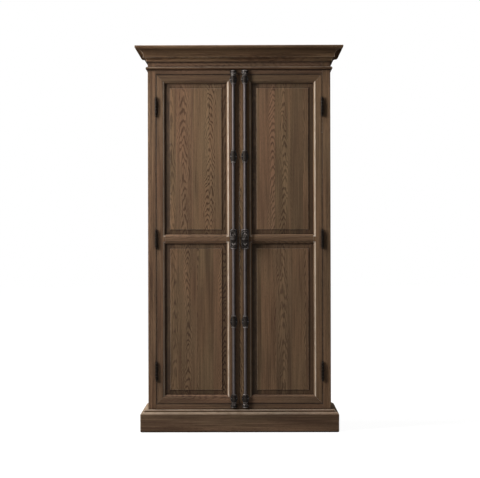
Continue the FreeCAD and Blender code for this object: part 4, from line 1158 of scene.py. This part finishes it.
@dataclass
class CremoneBolt:
    """One door's bolt: an olive knob on a cast case, ringed guides and two keepers."""

    side: Side
    around: int = 72
    bore_radius: float = 8.3 * MM
    bead_radius: float = 1.75 * MM
    beads_round: int = 16
    guide_apart: float = 100.0 * MM
    plate_end: float = 12.0 * MM
    plate_middle: float = 21.4 * MM
    plate_swell: float = 1.4
    plate_levels: int = 24
    wing_root: float = 6.2 * MM
    # Steps of a plate's edge: how far it is drawn in, and its height off the door, in millimetres
    plate_steps_mm: tuple[Pair, ...] = ((0.0, 0.0), (0.0, 1.7), (0.5, 2.2), (1.2, 2.2), (1.7, 3.0))
    foot_steps_mm: tuple[Pair, ...] = ((0.0, 0.0), (0.0, 1.8), (0.7, 2.4), (1.4, 2.4), (1.9, 3.0))
    foot_corner: float = 5.0 * MM
    foot_corner_steps: int = 8
    case_half_width: float = 19.2 * MM
    case_corner: float = 9.0 * MM
    least_corner: float = 1.2 * MM
    case_corner_steps: int = 12
    case_height: float = 21.5 * MM
    case_neck: float = 14.0 * MM
    neck_overlap: float = 3.0 * MM
    # The case's moulded front: how far it is drawn in, and its depth below the top, in millimetres
    case_front_mm: tuple[Pair, ...] = (
        (0.0, 8.2), (0.5, 7.4), (1.5, 7.0), (1.7, 6.4), (1.8, 3.2), (2.4, 1.3),
        (3.4, 0.3), (4.6, 0.0), (5.6, 0.4), (6.2, 1.5), (7.0, 2.0), (9.5, 1.9),
    )
    relief_foot: float = 2.6 * MM
    leaf_root: float = 12.0 * MM
    leaf_tip_margin: float = 7.0 * MM
    leaf_half_width: float = 10.5 * MM
    leaf_lobes: int = 7
    leaf_notch: float = 0.1
    leaf_levels: int = 40
    leaf_columns: int = 16
    leaf_thickness: float = 1.1 * MM
    rib_height: float = 0.8 * MM
    vein_height: float = 0.7 * MM
    vein_width: float = 0.9 * MM
    leaf_sink: float = 1.0 * MM
    # The rose round the knob's neck: radius, and height above the case's top, in millimetres
    rose_mm: tuple[Pair, ...] = (
        (13.0, -2.6), (13.0, -0.3), (12.4, 0.5), (11.4, 0.6), (10.6, 0.0), (9.6, 0.7),
        (8.4, 1.2), (7.4, 1.4), (6.8, 1.9), (5.2, 1.9), (5.2, -2.6),
    )
    petals: int = 12
    petal_height: float = 0.45 * MM
    petal_from_mm: Pair = (7.0, 11.0)
    knob_radius: float = 16.5 * MM
    knob_half_length: float = 29.0 * MM
    knob_lobes: int = 14
    knob_levels: int = 72
    knob_around: int = 84
    knob_fullness: float = 0.985
    flute_share: float = 0.13
    waist_half: float = 2.4 * MM
    waist_depth: float = 1.6 * MM
    waist_beads: int = 26
    waist_bead_radius: float = 1.25 * MM
    button_radius: float = 4.0 * MM
    least_radius: float = 0.2 * MM
    knob_sharp_deg: float = 50.0
    # The knob's neck: share of its length, and radius in millimetres
    neck_shares_mm: tuple[Pair, ...] = (
        (0.0, 6.0), (0.42, 6.0), (0.55, 6.4), (0.66, 8.0), (0.74, 8.4),
        (0.8, 8.0), (0.84, 7.6), (0.87, 9.2), (0.92, 9.5), (1.0, 9.5),
    )
    neck_around: int = 48
    neck_clearance: float = 0.3 * MM
    shank_half: float = 3.0 * MM
    shank_overlap: float = 1.0 * MM

    def __post_init__(self) -> None:
        """Take the bolt's line and the door's face from the frame."""
        self.axis = joint_place(f"{self.side.value}_knob_turn")
        self.face_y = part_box(f"{self.side.value}_meeting_stile")[0].y

    def at(self, x: float, out: float, z: float) -> Vector:
        """Return a point by its offset from the knob's middle and its height off the door's face."""
        return Vector((self.axis.x + x, self.face_y - out, self.axis.z + z))

    def round_point(self, radius: float, turn: float, z: float) -> Vector:
        """Return a point round the rod's line, held in front of the door's face."""
        y = self.axis.y - radius * math.cos(turn)
        return Vector((self.axis.x + radius * math.sin(turn), min(y, self.face_y), z))

    def add_sleeve(self, skin: SkinMaker, low: float, sleeve: Sleeve) -> None:
        """Add a tube round the rod's line, flat on the door.

        Args:
            skin: what the tube is added to
            low: its lowest place
            sleeve: its outline
        """
        rings = []
        for level in range(sleeve.levels + 1):
            rise = sleeve.length * level / sleeve.levels
            rings.append([
                self.round_point(sleeve.reach(rise, turn), turn, low + rise) for turn in turns(self.around)
            ])
        for z in (low + sleeve.length, low):
            rings.append([self.round_point(self.bore_radius, turn, z) for turn in turns(self.around)])
        skin.stack(rings, wrapped=True)

    def bead_ring(self, skin: SkinMaker, z: float, sleeve: Sleeve) -> None:
        """Add a string of beads round a sleeve's ring, where it stands clear of the door.

        Args:
            skin: what the beads are added to
            z: the height of the ring's middle
            sleeve: the sleeve
        """
        for turn in turns(self.beads_round):
            middle = self.round_point(sleeve.radius + sleeve.bead_lift, turn, z)
            if middle.y < self.face_y - 2.0 * self.bead_radius:
                skin.bead(middle, self.bead_radius)

    def guide(self, skin: SkinMaker, span: Pair) -> None:
        """Add a guide or keeper: a ringed sleeve with a lobed belly, on a swelling plate.

        Args:
            skin: what the guide is added to
            span: its lowest and highest place
        """
        low, high = span
        sleeve = GuideSleeve(high - low)
        self.add_sleeve(skin, low, sleeve)
        for z in (low + sleeve.ring / 2.0, high - sleeve.ring / 2.0):
            self.bead_ring(skin, z, sleeve)
        self.plate(skin, (low + high) / 2.0 - self.axis.z, (high - low) / 2.0)

    def plate(self, skin: SkinMaker, middle: float, half: float) -> None:
        """Add a guide's plate: a wing on each side of the rod, swelling out to its screws.

        Args:
            skin: what the plate is added to
            middle: its middle above the knob's
            half: half its height
        """
        for hand in (1, -1):
            rings = []
            for inset_mm, out_mm in self.plate_steps_mm:
                inset, out = inset_mm * MM, out_mm * MM
                reach, end, tall = self.plate_middle - inset, self.plate_end - inset, half - inset
                ring = [self.at(hand * self.wing_root, out, middle + up * tall) for up in (1.0, -1.0)]
                for level in range(self.plate_levels + 1):
                    up = 2.0 * level / self.plate_levels - 1.0
                    wave = math.cos(math.pi * up / 2.0) ** self.plate_swell
                    ring.append(self.at(hand * (end + (reach - end) * wave), out, middle + up * tall))
                rings.append(ring)
            skin.stack(rings)

    def case_outline(self, inset: float, half_height: float) -> list[Pair]:
        """Draw the case's rounded outline.

        Args:
            inset: how far it is drawn in
            half_height: half the height of the whole case

        Returns:
            The outline's points from the knob's middle.
        """
        corner = max(self.case_corner - inset, self.least_corner)
        wide, tall = self.case_half_width - inset - corner, half_height - inset - corner
        outline = []
        for quarter, (x, z) in enumerate(((wide, tall), (-wide, tall), (-wide, -tall), (wide, -tall))):
            for step in range(self.case_corner_steps + 1):
                turn = math.pi / 2.0 * (quarter + step / self.case_corner_steps)
                outline.append((x + corner * math.cos(turn), z + corner * math.sin(turn)))
        return outline

    def foot_outline(self, inset: float, top: float, hand: int) -> list[Pair]:
        """Draw one wing of the case's foot plate, beside the rods and round at its corners.

        Args:
            inset: how far it is drawn in
            top: its highest place above the knob's middle
            hand: -1 for the left wing, 1 for the right one

        Returns:
            The outline's points from the knob's middle.
        """
        reach, tall, corner = self.plate_middle - inset, top - inset, self.foot_corner
        outline = [(hand * self.wing_root, tall), (hand * self.wing_root, -tall)]
        for up in (-1, 1):
            for step in range(self.foot_corner_steps + 1):
                turn = math.pi / 2.0 * (step / self.foot_corner_steps + min(up, 0))
                x = reach - corner + corner * math.cos(turn)
                outline.append((hand * x, up * (tall - corner) + corner * math.sin(turn)))
        return outline

    def case(self, skin: SkinMaker, top: float) -> None:
        """Add the cast case: a moulded box with a leaf above and below the rose, and a sleeve at each end.

        Args:
            skin: what the case is added to
            top: the casting's highest place above the knob's middle
        """
        half_height = top - self.case_neck
        front = [(inset * MM, self.case_height - drop * MM) for inset, drop in self.case_front_mm]
        skin.stack([
            [self.at(x, out, z) for x, z in self.case_outline(inset, half_height)]
            for inset, out in [(0.0, 0.0), *front]
        ])
        for up in (1, -1):
            self.leaf(skin, up, half_height)
        self.rose(skin)
        for hand in (1, -1):
            skin.stack([
                [self.at(x, out * MM, z) for x, z in self.foot_outline(inset * MM, top, hand)]
                for inset, out in self.foot_steps_mm
            ])
        start = half_height - self.neck_overlap
        for up in (1, -1):
            sleeve = NeckSleeve(top - start, downward=up < 0)
            self.add_sleeve(skin, self.axis.z + min(up * start, up * top), sleeve)
            self.bead_ring(skin, self.axis.z + up * (top - sleeve.end_ring / 2.0), sleeve)

    def leaf(self, skin: SkinMaker, up: int, half_height: float) -> None:
        """Add a veined leaf that grows from the rose to an end of the case's front.

        Args:
            skin: what the leaf is added to
            up: 1 for the upper leaf, -1 for the lower one
            half_height: half the height of the case's box
        """
        length = half_height - self.leaf_root - self.leaf_tip_margin
        base = self.case_height - self.relief_foot
        rings = []
        for level in range(self.leaf_levels + 1):
            share = level / self.leaf_levels
            # Narrow at the root, fullest about its middle, and drawn to a point
            full = 0.35 + 0.65 * math.sin(math.pi * (0.12 + 0.88 * share) ** 0.8)
            notched = 1.0 + self.leaf_notch * math.cos(FULL_TURN * self.leaf_lobes * share)
            half = self.leaf_half_width * full * (1.0 - share ** 7) * notched
            z = up * (self.leaf_root + share * length)
            row = []
            for column in range(self.leaf_columns + 1):
                side = 2.0 * column / self.leaf_columns - 1.0
                vein = math.exp(-((side * half / self.vein_width) ** 2))
                ribs = 0.5 + 0.5 * math.cos(FULL_TURN * (self.leaf_lobes * share - 1.1 * abs(side)))
                dome = (1.0 - side ** 2) * swell(0.06 + 0.9 * share) ** 0.5
                height = self.leaf_thickness + self.rib_height * ribs + self.vein_height * vein
                row.append(self.at(side * half, base + height * dome, z))
            row += [self.at(side * half, base - self.leaf_sink, z) for side in (1.0, -1.0)]
            rings.append(row)
        skin.stack(rings)

    def rose(self, skin: SkinMaker) -> None:
        """Add the petalled rose round the knob's neck.

        Args:
            skin: what the rose is added to
        """
        inner, outer = self.petal_from_mm
        rings = []
        for radius, rise in self.rose_mm:
            petal = self.petal_height if inner < radius < outer else 0.0
            out = self.case_height + rise * MM
            rings.append([
                self.at(
                    radius * MM * math.sin(turn), out + petal * math.cos(self.petals * turn),
                    radius * MM * math.cos(turn),
                )
                for turn in turns(self.around)
            ])
        skin.stack(rings, wrapped=True)

    def knob(self, skin: SkinMaker) -> None:
        """Add the olive knob with its lobes, waist beads, buttons and ringed neck.

        Args:
            skin: what the knob is added to
        """
        low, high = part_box(f"{self.side.value}_knob")
        middle = Vector((self.axis.x, low.y + self.knob_radius, self.axis.z))
        tip = (high.z - low.z) / 2.0

        def spoke(radius: float, turn: float, z: float = 0.0) -> Vector:
            """Return a point round the knob's length."""
            return middle + Vector((radius * math.sin(turn), radius * math.cos(turn), z))

        levels = [tip * (2.0 * level / self.knob_levels - 1.0) for level in range(self.knob_levels + 1)]
        skin.stack([
            [spoke(self.knob_reach(z, turn, tip), turn, z) for turn in turns(self.knob_around)]
            for z in levels
        ])
        for turn in turns(self.waist_beads):
            skin.bead(spoke(self.knob_radius - self.waist_bead_radius, turn), self.waist_bead_radius, 8, 6)
        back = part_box(f"{self.side.value}_bolt_case")[0].y - self.neck_clearance
        skin.stack([
            [
                Vector((
                    middle.x + radius * MM * math.sin(turn), middle.y + share * (back - middle.y),
                    middle.z + radius * MM * math.cos(turn),
                ))
                for turn in turns(self.neck_around)
            ]
            for share, radius in self.neck_shares_mm
        ])
        half = self.shank_half
        shank = ((-half, -half), (half, -half), (half, half), (-half, half))
        skin.stack([
            [Vector((middle.x + x, y, middle.z + z)) for x, z in shank]
            for y in (back - self.shank_overlap, high.y)
        ])

    def knob_reach(self, z: float, turn: float, tip: float) -> float:
        """Work out the knob's radius.

        Args:
            z: the height above its middle
            turn: the turn round its length
            tip: half its whole length

        Returns:
            The radius.
        """
        height = abs(z)
        if height < self.waist_half:
            return self.knob_radius - self.waist_depth
        share = min(height / self.knob_half_length, 1.0)
        olive = self.knob_radius * math.sqrt(max(1.0 - share ** 2, 0.0))
        from_tip = height - tip + self.button_radius
        button = math.sqrt(max(self.button_radius ** 2 - from_tip ** 2, 0.0))
        lobe = 0.5 + 0.5 * math.cos(self.knob_lobes * turn)
        length = swell((height - self.waist_half) / (self.knob_half_length - self.waist_half))
        flute = self.flute_share * (1.0 - lobe ** 0.7) * length ** 0.4
        return max(olive * (self.knob_fullness - flute), button, self.least_radius)

    def dress(self) -> None:
        """Build the bolt's cast pieces over their CAD nodes and finish its rods."""
        prefix = self.side.value
        guides = SkinMaker()
        for span in pieces_along(f"{prefix}_bolt_guides", self.side.hand, self.guide_apart):
            self.guide(guides, span)
        made = guides.build(f"{prefix}_ringed_guides", IRON, f"{prefix}_door")
        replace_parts(made, f"{prefix}_bolt_guides")

        low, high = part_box(f"{prefix}_bolt_case")
        casting = SkinMaker()
        self.case(casting, (high.z - low.z) / 2.0)
        made = casting.build(f"{prefix}_cast_bolt_case", IRON, f"{prefix}_door")
        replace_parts(made, f"{prefix}_bolt_case")

        handle = SkinMaker()
        self.knob(handle)
        made = handle.build(f"{prefix}_lobed_knob", IRON, f"{prefix}_bolt_knob", self.knob_sharp_deg)
        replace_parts(made, f"{prefix}_knob")

        kept = {"upper_rod": ROD_IRON, "lower_rod": ROD_IRON, "pinion": STEEL, "door_screws": IRON}
        for node, finish in kept.items():
            dress_node(f"{prefix}_{node}", finish)

    def add_keepers(self, skin: SkinMaker) -> None:
        """Add this door's keepers to the case's keepers."""
        for span in pieces_along("bolt_keepers", self.side.hand, self.guide_apart):
            self.guide(skin, span)


@dataclass
class HingeSet:
    """The six butt hinges: CAD leaves, and turned pins with acorn finials."""

    around: int = 28
    pin_radius: float = 3.0 * MM
    pin_inset: float = 0.2 * MM
    knuckles: float = 100.0 * MM
    pins_apart: float = 200.0 * MM
    # A finial's outline: share of its height, and radius in millimetres
    finial_shares_mm: tuple[Pair, ...] = (
        (0.0, 5.5), (0.06, 5.5), (0.2, 5.2), (0.25, 3.6), (0.3, 3.0), (0.34, 3.7), (0.42, 4.4), (0.52, 4.6),
        (0.62, 4.4), (0.72, 3.8), (0.8, 3.0), (0.86, 2.1), (0.9, 1.5), (0.95, 1.3), (0.985, 0.9), (1.0, 0.3),
    )

    def pin(self, skin: SkinMaker, axis: Vector, span: Pair) -> None:
        """Add one pin with a finial at each end.

        Args:
            skin: what the pin is added to
            axis: the hinge's line
            span: the pin's lowest and highest place
        """
        middle = (span[0] + span[1]) / 2.0
        start, rise = self.knuckles / 2.0, (span[1] - span[0] - self.knuckles) / 2.0
        upper = [(start + share * rise, radius * MM) for share, radius in self.finial_shares_mm]
        lower = [(-z, radius) for z, radius in reversed(upper)]
        shaft = [(up * (start - self.pin_inset), self.pin_radius) for up in (-1.0, 1.0)]
        skin.stack([
            [
                Vector((axis.x + radius * math.cos(turn), axis.y + radius * math.sin(turn), middle + z))
                for turn in turns(self.around)
            ]
            for z, radius in lower + shaft + upper
        ])

    def dress(self) -> None:
        """Build the pins over their CAD node and finish the leaves."""
        skin = SkinMaker()
        for side in Side:
            axis = joint_place(f"{side.value}_door_hinge")
            for span in pieces_along("hinge_pins", side.hand, self.pins_apart):
                self.pin(skin, axis, span)
        made = skin.build("acorn_hinge_pins", HINGE_IRON, "case")
        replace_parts(made, "hinge_pins")
        for node in ("hinge_frame_leaves", "left_hinge_leaves", "right_hinge_leaves", "case_screws"):
            dress_node(node, HINGE_IRON)


@dataclass(frozen=True)
class Lamp:
    """A soft lamp, of a width and a height, that looks at a point."""

    name: str
    place: Place
    aim: Place
    size: Pair
    power: float
    tint: Colour = (1.0, 0.99, 0.98)

    def hang(self) -> None:
        """Add the lamp to the scene."""
        data = bpy.data.lights.new(self.name, "AREA")
        data.shape, data.energy, data.color = "RECTANGLE", self.power, self.tint
        data.size, data.size_y = self.size
        lamp = bpy.data.objects.new(self.name, data)
        lamp.location = self.place
        lamp.rotation_mode = "QUATERNION"
        lamp.rotation_quaternion = (Vector(self.aim) - Vector(self.place)).to_track_quat("-Z", "Y")
        bpy.context.scene.collection.objects.link(lamp)


@dataclass
class Studio:
    """A pale floor, soft lamps from the upper left, and the camera."""

    eye: Place = (0.0645, -10.3, 1.143)
    lens: float = 127.1
    sensor: float = 36.0
    level_deg: float = 90.0
    roll_deg: float = 0.13
    yaw_deg: float = 0.345
    farthest: float = 100.0
    world_light: float = 0.04
    floor_size: float = 60.0
    floor_white: float = 0.955
    whitening: Pair = (2.0, 6.0)
    paints: tuple[Colour, Colour] = ((0.12, 0.12, 0.12), (0.14, 0.14, 0.14))
    speck_scale: float = 14.0
    lamps: tuple[Lamp, ...] = (
        Lamp("key", (-3.65, -1.95, 3.2), (0.0, -0.25, 3.2), (0.8, 3.2), 392.0, (1.0, 0.98, 0.95)),
        Lamp("top", (-1.1, -0.42, 4.4), (0.0, -0.36, 0.3), (1.8, 0.12), 220.0, (1.0, 0.99, 0.97)),
        Lamp("fill", (-0.8, -6.5, 2.4), (0.0, -0.25, 1.15), (3.0, 3.0), 6.0),
        Lamp("back", (3.4, 3.2, 2.4), (0.0, 0.2, 1.1), (2.6, 2.6), 80.0),
    )

    def seen_white(self, graph: Graph) -> Signal:
        """Tell the rays that show the background from those that light the object.

        Args:
            graph: the tree of the floor or of the world

        Returns:
            One for rays that show the background, and zero for the others.
        """
        path = graph.add("ShaderNodeLightPath").outputs
        seen = graph.calc("MAXIMUM", path["Is Camera Ray"], path["Is Glossy Ray"])
        return graph.calc("MAXIMUM", seen, path["Is Transmission Ray"])

    def floor(self) -> None:
        """Lay the pale floor, which keeps a soft shadow of the object and whitens away from it."""
        bpy.ops.mesh.primitive_plane_add(size=self.floor_size)
        ground = bpy.context.object
        ground.name = "studio_floor"
        material = bpy.data.materials.new("studio_floor")
        material.use_nodes = True
        graph = Graph(material.node_tree)
        material.node_tree.nodes.clear()
        place = graph.place()
        paint = graph.mix(graph.noise(place, self.speck_scale, 4.0), *self.paints)
        matte = graph.out("ShaderNodeBsdfDiffuse", {"Color": paint})
        away = graph.out("ShaderNodeVectorMath", {0: place}, "Value", operation="LENGTH")
        shown = self.seen_white(graph) * graph.span(away, *self.whitening, self.floor_white, 1.0)
        glow = graph.out("ShaderNodeEmission", {"Color": (1.0, 1.0, 1.0), "Strength": shown})
        both = graph.out("ShaderNodeAddShader", {0: matte, 1: glow})
        graph.add("ShaderNodeOutputMaterial", {"Surface": both})
        ground.data.materials.append(material)
        ground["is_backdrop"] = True

    def world(self) -> None:
        """Make the world white where it is seen, and dim where it lights."""
        world = bpy.data.worlds.new("studio")
        world.use_nodes = True
        bpy.context.scene.world = world
        graph = Graph(world.node_tree)
        strength = self.seen_white(graph) * (1.0 - self.world_light) + self.world_light
        graph.fill(world.node_tree.nodes["Background"], {"Color": (1.0, 1.0, 1.0), "Strength": strength})

    def camera(self) -> None:
        """Set the camera level at the photograph's height, with its slight roll."""
        data = bpy.data.cameras.new("camera")
        data.lens, data.sensor_width, data.clip_end = self.lens, self.sensor, self.farthest
        camera = bpy.data.objects.new("camera", data)
        camera.location = self.eye
        camera.rotation_euler = [math.radians(turn) for turn in (self.level_deg, self.roll_deg, self.yaw_deg)]
        bpy.context.scene.collection.objects.link(camera)
        bpy.context.scene.camera = camera

    def build(self) -> None:
        """Build the whole studio."""
        bpy.context.scene.view_settings.view_transform = "Standard"
        for lamp in self.lamps:
            lamp.hang()
        self.floor()
        self.world()
        self.camera()


# Rails are painted darker than stiles, for the duller sheen of cross grain under the lamps.
CROSS_GRAIN = {
    "pale": (0.150, 0.094, 0.058), "deep": (0.044, 0.025, 0.015), "figure": 0.2, "wear": 0.12,
}
SHADED = {
    "pale": (0.162, 0.100, 0.061), "deep": (0.044, 0.025, 0.015), "figure": 0.3, "gloss": 0.05,
    "corner_reach": 0.014, "dirt": 0.98, "edge_grime": 0.75,
}
# The plinth's oak is paler and more worn than the frame's, partly painting in the light from above on its
# nosing.
FOOT = {
    "pale": (0.185, 0.121, 0.078), "deep": (0.060, 0.037, 0.024), "figure": 0.25, "gloss": 0.1,
    "wear": 0.7, "scuffed": 0.24, "place": "foot",
}


def door_finishes(side: Side) -> dict[str, Finish]:
    """Choose the finishes of one door's woodwork.

    Args:
        side: the door

    Returns:
        A finish for each of its CAD nodes.
    """
    prefix = side.value
    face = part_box(f"{prefix}_meeting_stile")[0].y
    # The stickings that face the key lamp, on the left meeting stile and the right hinge stile, get a
    # stronger painted highlight than those that face away.
    rubbed = OakFinish(
        "oak_frame", Grain.UPRIGHT_FACE, door_face=face, moulded=0.88, wear=0.15, edge_grime=0.6
    )
    plain = replace(rubbed, moulded=0.4)
    # The right meeting stile is painted paler, to lighten the shadow that the rod casts on it.
    handled = replace(plain, place="handled", pale=(0.225, 0.140, 0.080), deep=(0.070, 0.040, 0.022))
    level = OakFinish("oak_frame", Grain.LEVEL_FACE, **CROSS_GRAIN, place="door", edge_grime=0.6)
    # The top rail is painted darker, for the crown's shadow on it.
    shaded = replace(level, place="top", pale=(0.108, 0.068, 0.041), deep=(0.033, 0.018, 0.011))
    panel = OakFinish(
        "oak_panel", Grain.UPRIGHT_FACE, board_width=0.088, figure=0.6, corner_reach=0.026,
        door_face=face, sunk=0.85,
    )
    return {
        f"{prefix}_hinge_stile": plain if side is Side.LEFT else rubbed,
        f"{prefix}_meeting_stile": rubbed if side is Side.LEFT else handled,
        f"{prefix}_top_rail": shaded,
        f"{prefix}_middle_rail": level,
        f"{prefix}_bottom_rail": level,
        f"{prefix}_upper_panel": panel,
        f"{prefix}_lower_panel": panel,
    }


def woodwork() -> Iterable[Woodwork]:
    """Choose the finishes of all the woodwork.

    Returns:
        The woodwork, group by group.
    """
    moulding = OakFinish("oak_moulding", Grain.LEVEL_FACE, **SHADED)
    returned = replace(moulding, grain=Grain.RETURN_FACE, gloss=0.0)
    bead = replace(moulding, place="bead", scuffed=0.3)
    foot = OakFinish("oak_moulding", Grain.LEVEL_FACE, **FOOT)
    foot_return = replace(foot, grain=Grain.RETURN_FACE, gloss=0.0)
    upright = OakFinish("oak_frame", Grain.UPRIGHT_FACE, wear=0.3, edge_grime=0.3)
    level = OakFinish("oak_frame", Grain.LEVEL_FACE, **CROSS_GRAIN, edge_grime=0.5)
    side = OakFinish("oak_case", Grain.UPRIGHT_SIDE, board_width=0.14)
    shelf = OakFinish("oak_interior", Grain.LEVEL_BOARD, board_width=0.13)
    yield Woodwork("left door", door_finishes(Side.LEFT), first_seed=8.82)
    yield Woodwork("right door", door_finishes(Side.RIGHT), first_seed=23.3)
    yield Woodwork("face frame", {
        "left_face_stile": upright, "right_face_stile": upright,
        "face_top_rail": level, "face_bottom_rail": level,
    }, first_seed=21.4)
    yield Woodwork("crown", {
        "crown_front": moulding, "crown_left_return": returned, "crown_right_return": returned,
        "neck_bead": bead,
    }, ease=1.0 * MM, first_seed=31.9)
    yield Woodwork("plinth", {
        "plinth_front": foot, "plinth_left_return": foot_return, "plinth_right_return": foot_return,
        "plinth_back_rail": OakFinish("oak_case", Grain.LEVEL_FACE),
    }, ease=1.6 * MM, first_seed=44.2)
    yield Woodwork("case", {
        "left_side_panel": side, "right_side_panel": side,
        "back_boards": OakFinish("oak_case", Grain.UPRIGHT_FACE, board_width=0.13),
        "crown_cap_board": OakFinish("oak_case", Grain.LEVEL_BOARD, board_width=0.15),
    }, ease=1.0 * MM, first_seed=57.7)
    yield Woodwork("inside", {
        "bottom_board": shelf, "top_board": shelf, "bottle_shelf": shelf, "counter_shelf": shelf,
        "stemware_shelf": shelf, "adjustable_shelf": shelf,
        "bottle_dividers": OakFinish("oak_interior", Grain.UPRIGHT_SIDE),
        "stemware_rails": OakFinish("oak_interior", Grain.RETURN_FACE),
        "mirror_panel": MIRROR, "shelf_pins": STEEL,
    }, ease=1.5 * MM, first_seed=70.1)


def write_sizes() -> None:
    """Work out the CAD box and the dressed box side by side; nothing is written."""
    boxes = {"cad": CAD_BOX, "visual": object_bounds()}
    {name: [list(low), list(high)] for name, (low, high) in boxes.items()}


def main() -> None:
    """Dress the whole object, light it and set the camera."""
    logging.basicConfig(level=logging.INFO, format="%(name)s: %(message)s")
    for group in woodwork():
        group.dress()
    keepers = SkinMaker()
    for side in Side:
        bolt = CremoneBolt(side)
        bolt.dress()
        bolt.add_keepers(keepers)
    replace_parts(keepers.build("ringed_keepers", IRON, "case"), "bolt_keepers")
    HingeSet().dress()
    Studio().build()
    write_sizes()


if __name__ == "__main__":
    main()
